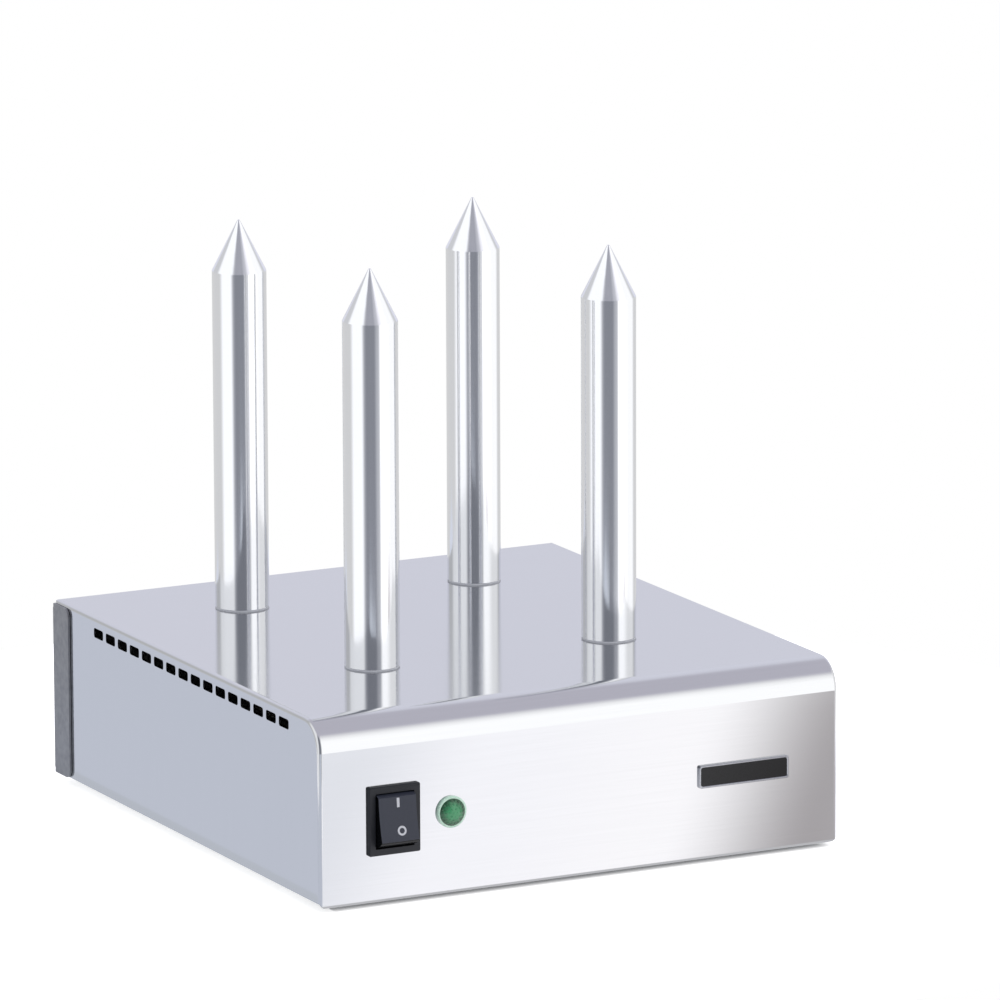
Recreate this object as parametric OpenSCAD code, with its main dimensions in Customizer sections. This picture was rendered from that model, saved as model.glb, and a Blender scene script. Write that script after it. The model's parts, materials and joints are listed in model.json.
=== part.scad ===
// Heated spike toaster: a low folded steel case with four upright heated spikes,
// a rocker switch and a pilot lamp on the front, and a cable gland at the rear.
// Millimetres. +X is to the right seen from the front, the front faces -Y, +Z is up.
// The origin lies on the surface that the feet stand on, under the middle of the toaster.

/* [Case] */
// Width across the side walls
body_w = 260; // [240:1:300]
// Depth from the front panel to the rear flanges
body_d = 278; // [268:1:320]
// Height from the lower edge of the front panel to the top
body_h = 84.5; // [80:0.5:110]
// Thickness of the steel sheet
sheet_t = 1; // [0.8:0.1:1.4]
// Outer radius of the bend between the front and the top
front_bend_r = 14; // [6:0.5:18]
// Outer radius of the side walls' edges, along the top and down the front
side_bend_r = 1.8; // [1.6:0.1:3.5]
// Outer radius of the bend at the rear edge of the top
rear_bend_r = 2; // [1.75:0.25:3]
// Inner radius of the roll along the front panel's lower edge
lower_bend_in = 1; // [0.5:0.1:1.4]
// Radius of the lower corners of the front panel
front_corner_r = 4; // [2:0.5:8]
// Height of the side walls' lower edges above the front panel's lower edge
side_rise = 2.5; // [1:0.5:5]
// Width of the inward flanges and ledges
return_w = 14; // [12:1:20]

/* [Vents] */
// Number of slots in each side wall
vent_count = 16; // [4:1:17]
// Distance between slot centres
vent_pitch = 13; // [12:0.25:13.5]
// Length of a slot
vent_len = 10; // [6:0.5:11]
// Height of a slot
vent_h = 4.5; // [3:0.25:5]
// Corner radius of a slot
vent_r = 1.2; // [0.5:0.1:1.4]
// Distance from the top down to the slot centres
vent_drop = 7; // [6.5:0.25:12]
// Distance from the front panel to the first slot centre
vent_front = 34.7; // [28:0.1:36]

/* [Spikes] */
// Diameter of a spike
spike_d = 25; // [22:0.5:28]
// Height from the case top to the sharp apex of the cone, before rounding
spike_h = 182.5; // [150:0.5:220]
// Height of the cone to its sharp apex
cone_h = 24.5; // [18:0.5:40]
// Rounding radius of the tip
tip_r = 0.8; // [0.4:0.1:2]
// Distance between the left and right spikes
spike_gap_x = 120; // [90:1:130]
// Distance between the front and rear spikes
spike_gap_y = 135; // [100:1:138]
// Distance from the front panel to the front spikes
spike_front = 88; // [80:1:92]
// Diameter of the threaded spigot under a spike
spigot_d = 16; // [15:0.5:18]
// Thickness of the sealing ring under a spike
gasket_t = 0.8; // [0.5:0.1:2]
// Diameter of the heating cartridge
heater_d = 12.4; // [10:0.1:12.6]
// Depth of the cartridge's bore above the case top
heater_depth = 148; // [90:1:150]

/* [Carrier plate] */
// Thickness of the carrier plate under the top
carrier_t = 1.5; // [1:0.1:2.5]
// Distance from the spike centres to the edges of the carrier plate
carrier_margin = 26; // [24:1:32]
// Depth of the carrier plate's turned-down edge
carrier_lip = 9; // [4:1:16]

/* [Rear panel] */
// Length of the side flanges that lap the case
rear_flange = 18; // [12:1:24]
// Corner radius of the side flanges
rear_corner_r = 4; // [2:0.5:6]
// Distance from the top of the case down to the rear panel
rear_drop = 1.6; // [1.2:0.1:4]

/* [Base and feet] */
// Thickness of the base plate
base_t = 1; // [0.8:0.1:1.6]
// Gap between the surface and the front panel's lower edge
stand_gap = 2; // [1.5:0.25:12]
// Distance from the case walls to the foot centres
foot_inset = 38; // [34:1:60]
// Diameter of a foot
foot_d = 22; // [16:1:26]

/* [Controls] */
// Height of the controls above the front panel's lower edge
control_h = 37.3; // [30:0.1:46]
// Distance from the left side wall to the switch centre
switch_left = 36.3; // [30:0.1:44]
// Distance from the left side wall to the lamp centre
lamp_left = 64.8; // [62:0.1:120]
// Width of the switch frame
bezel_w = 25.2; // [24.5:0.1:28]
// Height of the switch frame
bezel_h = 31.2; // [30.5:0.1:34]
// Thickness of the switch frame
bezel_t = 2; // [1.5:0.1:2.5]
// Width of the rocker
rocker_w = 18.4; // [17:0.1:18.6]
// Half the height of the rocker's face
rocker_half = 9.9; // [9:0.1:10.5]
// Tilt of the rocker to each side of its middle
rocker_tilt = 10; // [6:0.5:11]
// Diameter of the lamp's flange
lamp_d = 14.4; // [12:0.1:16]

/* [Cable gland] */
// Distance from the middle of the case to the gland
gland_x = 80; // [60:1:95]
// Height of the gland above the base plate
gland_up = 22; // [18:1:34]
// Bore of the gland's seal
cord_bore_d = 7.4; // [5:0.1:8]

/* [Hidden] */
$fn = 64;
// Gap between pieces that are assembled loosely
loose = 0.5;
// Gap around a piece that seats in another
seat = 0.1;
// Overlap that fuses two shapes, and run-out of a cut
eps = 0.01;
cut = 1;

// Switch: distances are measured from the panel's face, and those of the rocker from its pivot
pivot_depth = 1;
pivot_r = 1.7;
pivot_play = 0.05;
rocker_gap = 0.3;
rocker_face = 7.1;
rocker_dish_r = 80;
rocker_end_r = sqrt(pow(rocker_face, 2) + pow(rocker_half, 2));
rocker_back = 2.5;
rocker_back_half = 7.5;
opening_w = rocker_w + 2 * rocker_gap;
opening_h = 2 * (rocker_end_r + rocker_gap);
switch_wall = 1.4;
switch_end_wall = 0.9;
switch_body_w = opening_w + 2 * switch_wall;
switch_body_h = opening_h + 2 * switch_end_wall;
arm_reach = 12;
arm_depth = pivot_depth + arm_reach;
arm_room = 3.5;
switch_cavity = arm_depth + arm_room;
switch_floor = 1.5;
bezel_corner_r = 0.8;
bezel_bevel = 0.4;
clip_w = 8;
clip_out = 1.4;
clip_len = 7;
pole_x = 4.5;
sleeve_r = 2.7;
sleeve_bore_r = 1.9;
sleeve_len = 7;
plunger_head_r = 1.8;
plunger_tip_r = 1.2;
plunger_reach = 10.2;
plunger_head = 2.4;
spring_start = 0.6;
spring_turns = 5;
spring_wire_r = 0.25;
spring_r = 1.4;
arm_w = 4;
arm_half = 8.5;
arm_front = 0.3;
arm_t = 0.8;
arm_rib_r = 1.6;
arm_swing = 6;
contact_r = 1.4;
contact_h = 0.8;
contact_gap = 0.3;
contact_up = contact_r - arm_half;
blade_w = 6.3;
blade_t = 0.8;
blade_len = 11.5;
blade_end = switch_cavity + blade_len;
saddle_half = 2.2;

// Lamp: distances are measured from the panel's face
lamp_flange_t = 1.5;
lamp_rim = 1;
lamp_dome_r = lamp_d / 2 - lamp_rim;
lamp_dome_h = 2;
lamp_tube_r = 4.9;
lamp_tube_bore_r = 4;
lamp_plug = 4;
lamp_len = 18;
lamp_end_t = 1.5;
lamp_clip_r = 9;
lamp_clip_t = 0.6;
bulb_r = 2.8;
bulb_len = 9;
lamp_tab_w = 2.8;
lamp_tab_t = 0.5;
lamp_tab_len = 8;
lamp_tab_x = lamp_tube_bore_r / 2;

// Gland: distances are measured from the rear panel's outer face
gland_thread_r = 7.9;
gland_flange_af = 22;
gland_flange_t = 5;
gland_inner_len = 9;
gland_neck_r = 7.4;
gland_neck_end = 13;
gland_bore_r = 4.2;
gland_cup_r = 6.2;
gland_cap_af = 20;
gland_cap_end = 18;
gland_cap_hole_r = 4.4;
gland_nut_t = 4;
gland_seal_start = 6.3;
gland_seal_end = 14.5;

// Fasteners
screw_r = 1.75;
screw_head_r = 3.5;
screw_head_h = 2.2;
screw_len = 8;
foot_screw_head_r = 4;
foot_bore_depth = 2.6;
foot_screw_tail = 4;
base_screw_inset = 60;
rear_screw_inset = 12;
washer_r = 15;
washer_t = 1.5;
spike_nut_af = 24;
spike_nut_h = 6;
spigot_tail = 7;
set_screw_r = 1.5;
set_screw_out = 1.5;

// Heights
lower_bend_r = lower_bend_in + sheet_t;
z_side = stand_gap + side_rise;
base_recess = 0.5;
z_floor = z_side + base_recess + base_t;
z_base_low = z_floor - base_t;
z_top = stand_gap + body_h;
z_under_top = z_top - sheet_t;
z_carrier = z_under_top - carrier_t;
z_nut = z_carrier - washer_t - spike_nut_h;
z_spigot = z_nut - spigot_tail;
z_set_screw = (z_nut + z_spigot) / 2;
sheath_tail = 4;
heater_ceramic_h = 8;
z_sheath = z_spigot - sheath_tail;
z_heater = z_sheath - heater_ceramic_h;
z_control = stand_gap + control_h;
z_gland = z_floor + gland_up;

// Depths
rocker_reach = rocker_face * cos(rocker_tilt) + rocker_half * sin(rocker_tilt) - pivot_depth;
origin_shift = (sheet_t + gland_cap_end - rocker_reach) / 2;
y_front = -body_d / 2 - origin_shift;
y_rear = body_d / 2 - origin_shift;
y_back = y_rear + sheet_t;

// Sides
x_wall = body_w / 2;
x_inner = x_wall - sheet_t;
x_flange = x_inner - return_w / 2;
x_switch = switch_left - x_wall;
x_lamp = lamp_left - x_wall;
lap_gap = 0.2;
x_lap = x_wall + lap_gap + sheet_t;

// Spikes
spike_r = spike_d / 2;
spigot_r = spigot_d / 2;
heater_r = heater_d / 2;
heater_bore_r = heater_r + seat;
cone_angle = atan(spike_r / cone_h);
z_apex = z_top + spike_h;
z_spike = z_top + gasket_t;

// Inner fittings on the base plate and under the carrier plate
block_side = 70;
block_x = x_wall - block_side;
block_rear = 62;
block_poles = 6;
block_pitch = 10;
block_d = 20;
block_h = 16;
block_ear = 9;
block_ear_h = 5;
insert_r = 2.9;
insert_bore_r = 1.6;
insert_up = 7;
clamp_r = 1.5;
clamp_len = 6.5;
clamp_y = 5;
stud_gap = 55;
stud_x = block_x - stud_gap;
stud_r = 2.5;
stud_head_r = 5;
stud_head_h = 2;
stud_h = 17;
stud_nut_af = 8;
stud_nut_h = 4;
stud_washer_t = 1;
thermostat_r = 9;
thermostat_cup_h = 4;
thermostat_h = 12;
thermostat_flange_t = 1.5;
thermostat_step = 1;
thermostat_ear = 12.5;
thermostat_ear_r = 4;
thermostat_tab_x = 4.5;
thermostat_tab_len = 9;

// Inner wiring
wire_r = 1.2;
lead_r = 0.75;
wire_sides = 8;
wire_steps = 8;
wire_stub = 5;
wire_entry = 1.5;
insert_recess = 1;
insert_end = block_d / 2 - insert_recess;
live_pole = 0;
neutral_pole = 1;
thermostat_pole = 2;
heater_live_pole = 3;
heater_neutral_pole = 4;
switched_neutral_pole = 5;
supply_slack = 70;
switched_leave = 40;
switched_arrive = 150;
thermostat_leave = 90;
thermostat_drop = 30;
thermostat_arrive = 40;
lead_off = 2.2;
lead_drop = 36;
lead_stagger = 8;
front_left_slack = 120;
front_right_slack = 40;
rear_left_slack = 50;
rear_right_slack = 30;
lamp_slack = 20;
lead_up = 0.3;
link_r = 0.5;
link_up = -1.05;
link_slack = 12;

base_vent_count = 9;
base_vent_pitch = 11;
base_vent_len = 34;
base_vent_w = 4;

steel = [0.80, 0.81, 0.84];
dull_steel = [0.52, 0.52, 0.54];
zinc = [0.66, 0.67, 0.68];
aluminium = [0.86, 0.87, 0.90];
black = [0.13, 0.14, 0.17];
dark_fibre = [0.20, 0.20, 0.21];
brass = [0.78, 0.62, 0.30];
ceramic = [0.90, 0.88, 0.82];
wire_sleeve = [0.83, 0.82, 0.78];
green = [0.31, 0.63, 0.45];

// Shared shapes

// Rectangle with its four corners rounded
module rounded_square(w, h, r) {
    square([w - 2 * r, h], center = true);
    square([w, h - 2 * r], center = true);
    for (x = [-1, 1], y = [-1, 1])
        translate([x * (w / 2 - r), y * (h / 2 - r)])
            circle(r);
}

// Straight slot with round ends, along the first axis
module stadium(length, width) {
    square([length - width, width], center = true);
    for (x = [-1, 1])
        translate([x * (length - width) / 2, 0])
            circle(width / 2);
}

// What rounding a square corner takes away; the corner points along dir
module corner_waste(dir, r) {
    difference() {
        translate([dir.x > 0 ? -r : -cut, dir.y > 0 ? -r : -cut])
            square(r + cut);
        translate([-dir.x * r, -dir.y * r])
            circle(r);
    }
}

// Rectangle from low to high with its two upper corners bent round
module arch(low, high, r_left, r_right) {
    difference() {
        translate(low)
            square(high - low);
        translate([low.x, high.y])
            corner_waste([-1, 1], r_left);
        translate(high)
            corner_waste([1, 1], r_right);
    }
}

// Outline in Y and Z, drawn out along X about the middle
module along_x(length) {
    rotate([90, 0, 90])
        linear_extrude(length, center = true)
            children();
}

// Outline in X and Z, drawn out from y0 to y1
module along_y(y0, y1) {
    translate([0, y1, 0])
        rotate([90, 0, 0])
            linear_extrude(y1 - y0)
                children();
}

// Flat ring standing on its lower face
module ring(r_out, r_in, h) {
    linear_extrude(h)
        difference() {
            circle(r_out);
            circle(r_in);
        }
}

// Hexagon nut standing on its lower face
module hex_nut(flats, r_in, h) {
    difference() {
        cylinder(r = flats / 2 / cos(30), h = h, $fn = 6);
        translate([0, 0, -cut])
            cylinder(r = r_in, h = h + 2 * cut);
    }
}

// Screw with its head above zero and its shank below
module pan_screw(head_r, head_h, shank_r, shank_len) {
    rotate_extrude()
        polygon([
            [0, -shank_len], [shank_r, -shank_len], [shank_r, 0], [head_r, 0],
            [head_r, head_h / 2], [head_r - head_h / 2, head_h], [0, head_h]
        ]);
}

// Places
function spike_place(side, row) =
    [side * spike_gap_x / 2, y_front + spike_front + row * spike_gap_y, 0];

module at_each_spike() {
    for (side = [-1, 1], row = [0, 1])
        translate(spike_place(side, row))
            children();
}

function foot_place(side, row) =
    [side * (x_wall - foot_inset), row == 0 ? y_front + foot_inset : y_rear - foot_inset, 0];

module at_each_foot() {
    for (side = [-1, 1], row = [0, 1])
        translate(foot_place(side, row))
            children();
}

base_screw_rows = [y_front + base_screw_inset, (y_front + y_rear) / 2, y_rear - base_screw_inset];

module at_each_base_screw() {
    for (side = [-1, 1], y = base_screw_rows)
        translate([side * x_flange, y, 0])
            children();
}

rear_screw_heights = [z_side + rear_screw_inset, z_top - return_w - rear_screw_inset];

// The rear screws point to the front, heads outwards
module at_each_rear_screw() {
    for (side = [-1, 1], z = rear_screw_heights)
        translate([side * x_flange, y_back, z])
            rotate([-90, 0, 0])
                children();
}

module at_lamp() {
    translate([x_lamp, y_front, z_control])
        rotate([90, 0, 0])
            children();
}

module at_switch() {
    translate([x_switch, y_front, z_control])
        children();
}

// The rocker is drawn upright about its pivot and rests with its upper end pressed in
module at_rocker() {
    at_switch()
        translate([0, pivot_depth, 0])
            rotate([-rocker_tilt, 0, 0])
                children();
}

module at_gland() {
    translate([gland_x, y_back, z_gland])
        rotate([-90, 0, 0])
            children();
}

block_y = y_rear - block_rear;

function pole_place(i) = [block_x + (i - (block_poles - 1) / 2) * block_pitch, block_y, 0];

module at_each_pole() {
    for (i = [0 : block_poles - 1])
        translate(pole_place(i))
            children();
}

thermostat_place = [0, y_front + spike_front + spike_gap_y / 2, z_carrier];

module at_each_thermostat_ear() {
    for (side = [-1, 1])
        translate(thermostat_place + [side * thermostat_ear, 0, 0])
            children();
}

// Case

// The bent case as a solid, drawn in by the given distance and reaching down to low
module case_solid(inset, low) {
    difference() {
        intersection() {
            along_x(body_w - 2 * inset)
                arch([y_front + inset, low], [y_rear - inset, z_top - inset],
                     front_bend_r - inset, rear_bend_r - inset);
            translate([0, 0, low])
                linear_extrude(z_top - low)
                    arch([-x_wall + inset, y_front], [x_wall - inset, y_rear - inset],
                         rear_bend_r - inset, rear_bend_r - inset);
        }
        for (side = [-1, 1])
            side_edge_waste(side, inset, low);
    }
}

// What rounding takes off one side wall's edges: up the front, round the bend and along the top
module side_edge_waste(side, inset, low) {
    r = side_bend_r - inset;
    x_edge = side * (x_wall - inset);
    y_bend = y_front + front_bend_r;
    z_bend = z_top - front_bend_r;
    translate([x_edge, y_front + inset, low - cut])
        linear_extrude(z_bend - low + cut)
            corner_waste([side, -1], r);
    translate([0, y_bend, z_bend])
        rotate([90, 0, 90])
            rotate([0, 0, 90])
                rotate_extrude(angle = 90)
                    translate([front_bend_r - inset, x_edge])
                        corner_waste([1, side], r);
    along_y(y_bend, y_rear + cut)
        translate([x_edge, z_top - inset])
            corner_waste([side, 1], r);
}

// Ledge inside the front and side walls, which the base plate is screwed to
module ledges() {
    difference() {
        translate([-x_inner - eps, y_front + sheet_t - eps, z_floor])
            cube([2 * x_inner + 2 * eps, body_d - 2 * sheet_t + 2 * eps, sheet_t]);
        translate([-x_inner + return_w, y_front + sheet_t + return_w, z_floor - cut])
            cube([2 * (x_inner - return_w), body_d, sheet_t + 2 * cut]);
        at_each_base_screw()
            translate([0, 0, z_floor - cut])
                cylinder(r = screw_r + seat, h = sheet_t + 2 * cut);
    }
}

// Inner side of the roll along the front panel's lower edge
module lower_roll() {
    difference() {
        translate([y_front + sheet_t - eps, stand_gap])
            square([lower_bend_in + eps, lower_bend_r]);
        translate([y_front + lower_bend_r, stand_gap + lower_bend_r])
            circle(lower_bend_in);
    }
}

// Part of the front panel that hangs below the side walls, rolled inwards between its corners
module front_apron() {
    difference() {
        union() {
            translate([-x_wall, y_front, stand_gap])
                cube([body_w, sheet_t, side_rise + cut]);
            along_x(body_w - 2 * front_corner_r)
                lower_roll();
        }
        for (side = [-1, 1])
            translate([side * x_wall, y_front, stand_gap - cut])
                linear_extrude(side_rise + 3 * cut)
                    corner_waste([side, -1], side_bend_r);
    }
}

module vent_cuts() {
    along_x(body_w + 2 * cut)
        for (i = [0 : vent_count - 1])
            translate([y_front + vent_front + i * vent_pitch, z_top - vent_drop])
                rounded_square(vent_len, vent_h, vent_r);
}

module front_cuts() {
    along_y(y_front - cut, y_front + sheet_t + cut) {
        translate([x_switch, z_control])
            square([switch_body_w + 2 * seat, switch_body_h + 2 * seat], center = true);
        translate([x_lamp, z_control])
            circle(lamp_tube_r + seat);
    }
    along_y(y_front - cut, y_front + sheet_t + eps)
        for (side = [-1, 1])
            translate([side * x_wall, stand_gap])
                corner_waste([side, -1], front_corner_r);
    along_x(body_w + 2 * cut)
        translate([y_front, stand_gap])
            corner_waste([-1, -1], lower_bend_r);
}

module rear_cuts() {
    translate([-x_inner + return_w, y_rear - sheet_t - cut, z_side - cut])
        cube([2 * (x_inner - return_w), sheet_t + 2 * cut, z_under_top - return_w - z_side + cut]);
    at_each_rear_screw()
        translate([0, 0, -3 * sheet_t])
            cylinder(r = screw_r + seat, h = 4 * sheet_t);
}

module body_shell() {
    color(steel)
        difference() {
            union() {
                difference() {
                    case_solid(0, z_side);
                    case_solid(sheet_t, z_side - cut);
                }
                front_apron();
                ledges();
            }
            vent_cuts();
            front_cuts();
            rear_cuts();
            at_each_spike()
                translate([0, 0, z_under_top - cut])
                    cylinder(r = spigot_r + seat, h = sheet_t + 2 * cut);
        }
}

module rear_panel() {
    z_high = z_top - rear_drop;
    y_lap = y_back - rear_flange;
    color(dull_steel)
        difference() {
            translate([0, 0, z_side])
                linear_extrude(z_high - z_side)
                    difference() {
                        arch([-x_lap, y_lap], [x_lap, y_back], 2 * sheet_t, 2 * sheet_t);
                        arch([-x_lap + sheet_t, y_lap - cut], [x_lap - sheet_t, y_rear],
                             sheet_t, sheet_t);
                    }
            along_x(2 * x_lap + 2 * cut) {
                translate([y_lap, z_high])
                    corner_waste([-1, 1], rear_corner_r);
                translate([y_lap, z_side])
                    corner_waste([-1, -1], rear_corner_r);
            }
            along_y(y_back - 2 * sheet_t, y_back + cut)
                for (side = [-1, 1]) {
                    translate([side * x_lap, z_high])
                        corner_waste([side, 1], rear_corner_r);
                    translate([side * x_lap, z_side])
                        corner_waste([side, -1], rear_corner_r);
                }
            at_each_rear_screw()
                translate([0, 0, -2 * sheet_t])
                    cylinder(r = screw_r + seat, h = 3 * sheet_t);
            at_gland()
                translate([0, 0, -2 * sheet_t])
                    cylinder(r = gland_thread_r + seat, h = 3 * sheet_t);
        }
}

module base_plate() {
    plate_x = x_inner - loose;
    plate_front = y_front + lower_bend_r + loose;
    plate_rear = y_rear - sheet_t - loose;
    color(zinc)
        difference() {
            translate([-plate_x, plate_front, z_base_low])
                cube([2 * plate_x, plate_rear - plate_front, base_t]);
            translate([0, 0, z_base_low - cut])
                linear_extrude(base_t + 2 * cut) {
                    base_plate_holes();
                    for (side = [-1, 1])
                        translate([side * plate_x, plate_front])
                            corner_waste([side, -1], side_bend_r);
                }
        }
}

module base_plate_holes() {
    at_each_base_screw()
        circle(screw_r + seat);
    at_each_foot()
        circle(screw_r + seat);
    for (row = [-1, 1], i = [0 : base_vent_count - 1])
        translate([
            row * (base_vent_len / 2 + base_vent_pitch),
            y_front + spike_front + (i - (base_vent_count - 1) / 2) * base_vent_pitch
        ])
            stadium(base_vent_len, base_vent_w);
    for (side = [-1, 1])
        translate([block_x + side * block_screw_x, block_y])
            circle(screw_r + seat);
    translate([stud_x, block_y])
        circle(stud_r + seat);
}

// Plate under the top that the four spikes are bolted to
module carrier_plate() {
    x_edge = spike_gap_x / 2 + carrier_margin;
    y_edge = y_front + spike_front - carrier_margin;
    y_len = spike_gap_y + 2 * carrier_margin;
    color(zinc)
        difference() {
            translate([-x_edge, y_edge, z_under_top - carrier_lip])
                cube([2 * x_edge, y_len, carrier_lip]);
            translate([-x_edge + carrier_t, y_edge + carrier_t, z_under_top - carrier_lip - cut])
                cube([2 * (x_edge - carrier_t), y_len - 2 * carrier_t, carrier_lip - carrier_t + cut]);
            at_each_spike()
                translate([0, 0, z_carrier - cut])
                    cylinder(r = spigot_r + seat, h = carrier_t + 2 * cut);
            at_each_thermostat_ear()
                translate([0, 0, -cut])
                    cylinder(r = screw_r + seat, h = carrier_t + 2 * cut);
        }
}

// Spikes and heaters

// Half outline of a spike: spigot, shank, cone and rounded tip
module spike_outline() {
    touch_r = tip_r * cos(cone_angle);
    touch_z = z_apex - touch_r / tan(cone_angle);
    polygon([
        [0, z_spigot], [spigot_r, z_spigot], [spigot_r, z_spike], [spike_r, z_spike],
        [spike_r, z_apex - cone_h], [touch_r, touch_z], [0, touch_z]
    ]);
    intersection() {
        translate([0, z_apex - tip_r / sin(cone_angle)])
            circle(tip_r);
        translate([0, touch_z - eps])
            square(2 * tip_r);
    }
}

module spike(side, row) {
    color(aluminium)
        translate(spike_place(side, row))
            difference() {
                rotate_extrude()
                    spike_outline();
                translate([0, 0, z_spigot - cut])
                    cylinder(r = heater_bore_r, h = z_top + heater_depth - z_spigot + cut);
                translate([0, 0, z_set_screw])
                    rotate([-90, 0, 0])
                        cylinder(r = set_screw_r + seat, h = spigot_r + cut);
            }
}

module spike_front_left() spike(-1, 0);
module spike_front_right() spike(1, 0);
module spike_rear_left() spike(-1, 1);
module spike_rear_right() spike(1, 1);

module spike_gaskets() {
    color(dark_fibre)
        at_each_spike()
            translate([0, 0, z_top])
                ring(spike_r - seat, spigot_r + seat, gasket_t);
}

module spike_washers() {
    color(zinc)
        at_each_spike()
            translate([0, 0, z_carrier - washer_t])
                ring(washer_r, spigot_r + seat, washer_t);
}

module spike_nuts() {
    color(zinc)
        at_each_spike()
            translate([0, 0, z_nut])
                hex_nut(spike_nut_af, spigot_r + seat, spike_nut_h);
}

// Heating cartridge: steel sheath with a ceramic end below the spigot
module heater(side, row) {
    ceramic_step = 1;
    ceramic_r = heater_r - ceramic_step;
    end_gap = 2;
    color(dull_steel)
        translate(spike_place(side, row)) {
            translate([0, 0, z_sheath])
                cylinder(r = heater_r, h = z_top + heater_depth - end_gap - z_sheath);
            translate([0, 0, z_heater])
                cylinder(r = ceramic_r, h = heater_ceramic_h + eps);
        }
}

module heater_front_left() heater(-1, 0);
module heater_front_right() heater(1, 0);
module heater_rear_left() heater(-1, 1);
module heater_rear_right() heater(1, 1);

module heater_set_screws() {
    color(dull_steel)
        at_each_spike()
            translate([0, heater_r + seat, z_set_screw])
                rotate([-90, 0, 0])
                    cylinder(r = set_screw_r, h = spigot_r + set_screw_out - heater_r - seat);
}

// Thermostat under the carrier plate, between the spikes
module thermostat() {
    color(black)
        difference() {
            translate(thermostat_place - [0, 0, thermostat_h]) {
                cylinder(r = thermostat_r - thermostat_step, h = thermostat_h - thermostat_cup_h + eps);
                translate([0, 0, thermostat_h - thermostat_cup_h])
                    cylinder(r = thermostat_r, h = thermostat_cup_h);
                translate([0, 0, thermostat_h - thermostat_flange_t])
                    linear_extrude(thermostat_flange_t)
                        stadium(2 * (thermostat_ear + thermostat_ear_r), 2 * thermostat_ear_r);
            }
            at_each_thermostat_ear()
                translate([0, 0, -thermostat_flange_t - cut])
                    cylinder(r = screw_r + seat, h = thermostat_flange_t + 2 * cut);
        }
}

module thermostat_tabs() {
    color(brass)
        for (side = [-1, 1])
            translate(thermostat_place + [side * thermostat_tab_x, 0, -thermostat_h])
                mirror([0, 0, 1])
                    linear_extrude(thermostat_tab_len)
                        square([blade_t, blade_w], center = true);
}

module thermostat_screws() {
    color(zinc)
        at_each_thermostat_ear()
            translate([0, 0, -thermostat_flange_t])
                mirror([0, 0, 1])
                    pan_screw(screw_head_r, screw_head_h, screw_r, thermostat_flange_t + carrier_t);
}

// Mains connection

block_len = block_poles * block_pitch;
block_screw_x = block_len / 2 + block_ear / 2;

module terminal_block() {
    color(ceramic)
        difference() {
            translate([block_x, block_y, z_floor]) {
                translate([-block_len / 2, -block_d / 2, 0])
                    cube([block_len, block_d, block_h]);
                translate([-block_len / 2 - block_ear, -block_ear / 2, 0])
                    cube([block_len + 2 * block_ear, block_ear, block_ear_h]);
            }
            at_each_pole() {
                translate([0, block_d, z_floor + insert_up])
                    rotate([90, 0, 0])
                        cylinder(r = insert_r + seat, h = 2 * block_d);
                for (side = [-1, 1])
                    translate([0, side * clamp_y, z_floor + insert_up])
                        cylinder(r = clamp_r + 3 * seat, h = block_h);
            }
            for (side = [-1, 1])
                translate([block_x + side * block_screw_x, block_y, z_floor - cut])
                    cylinder(r = screw_r + seat, h = block_ear_h + 2 * cut);
        }
}

module terminal_inserts() {
    color(brass)
        at_each_pole()
            difference() {
                translate([0, insert_end, z_floor + insert_up])
                    rotate([90, 0, 0])
                        ring(insert_r, insert_bore_r, 2 * insert_end);
                for (side = [-1, 1])
                    translate([0, side * clamp_y, z_floor + insert_up])
                        cylinder(r = clamp_r + seat, h = block_h);
            }
}

module terminal_screws() {
    color(zinc)
        at_each_pole()
            for (side = [-1, 1])
                translate([0, side * clamp_y, z_floor + insert_up + seat])
                    cylinder(r = clamp_r, h = clamp_len);
}

module block_screws() {
    color(zinc)
        for (side = [-1, 1])
            translate([block_x + side * block_screw_x, block_y, z_floor + block_ear_h])
                pan_screw(screw_head_r, screw_head_h, screw_r, block_ear_h + base_t);
}

module earth_stud() {
    color(brass)
        translate([stud_x, block_y, z_base_low]) {
            mirror([0, 0, 1])
                cylinder(r = stud_head_r, h = stud_head_h);
            cylinder(r = stud_r, h = stud_h);
        }
}

module earth_washer() {
    color(zinc)
        translate([stud_x, block_y, z_floor])
            ring(stud_head_r, stud_r + seat, stud_washer_t);
}

module earth_nut() {
    color(brass)
        translate([stud_x, block_y, z_floor + stud_washer_t])
            hex_nut(stud_nut_af, stud_r + seat, stud_nut_h);
}

// Cable gland in the rear panel

module gland_body() {
    color(black)
        at_gland()
            difference() {
                union() {
                    cylinder(r = gland_flange_af / 2 / cos(30), h = gland_flange_t, $fn = 6);
                    translate([0, 0, -sheet_t - gland_inner_len])
                        cylinder(r = gland_thread_r, h = sheet_t + gland_inner_len + eps);
                    cylinder(r = gland_neck_r, h = gland_neck_end);
                }
                translate([0, 0, -sheet_t - gland_inner_len - cut])
                    cylinder(r = gland_bore_r, h = gland_neck_end + gland_inner_len + 2 * cut + sheet_t);
                translate([0, 0, gland_seal_start - seat])
                    cylinder(r = gland_cup_r, h = gland_neck_end);
            }
}

module gland_seal() {
    color(dark_fibre)
        at_gland()
            translate([0, 0, gland_seal_start])
                ring(gland_cup_r - seat, cord_bore_d / 2, gland_seal_end - gland_seal_start);
}

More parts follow.
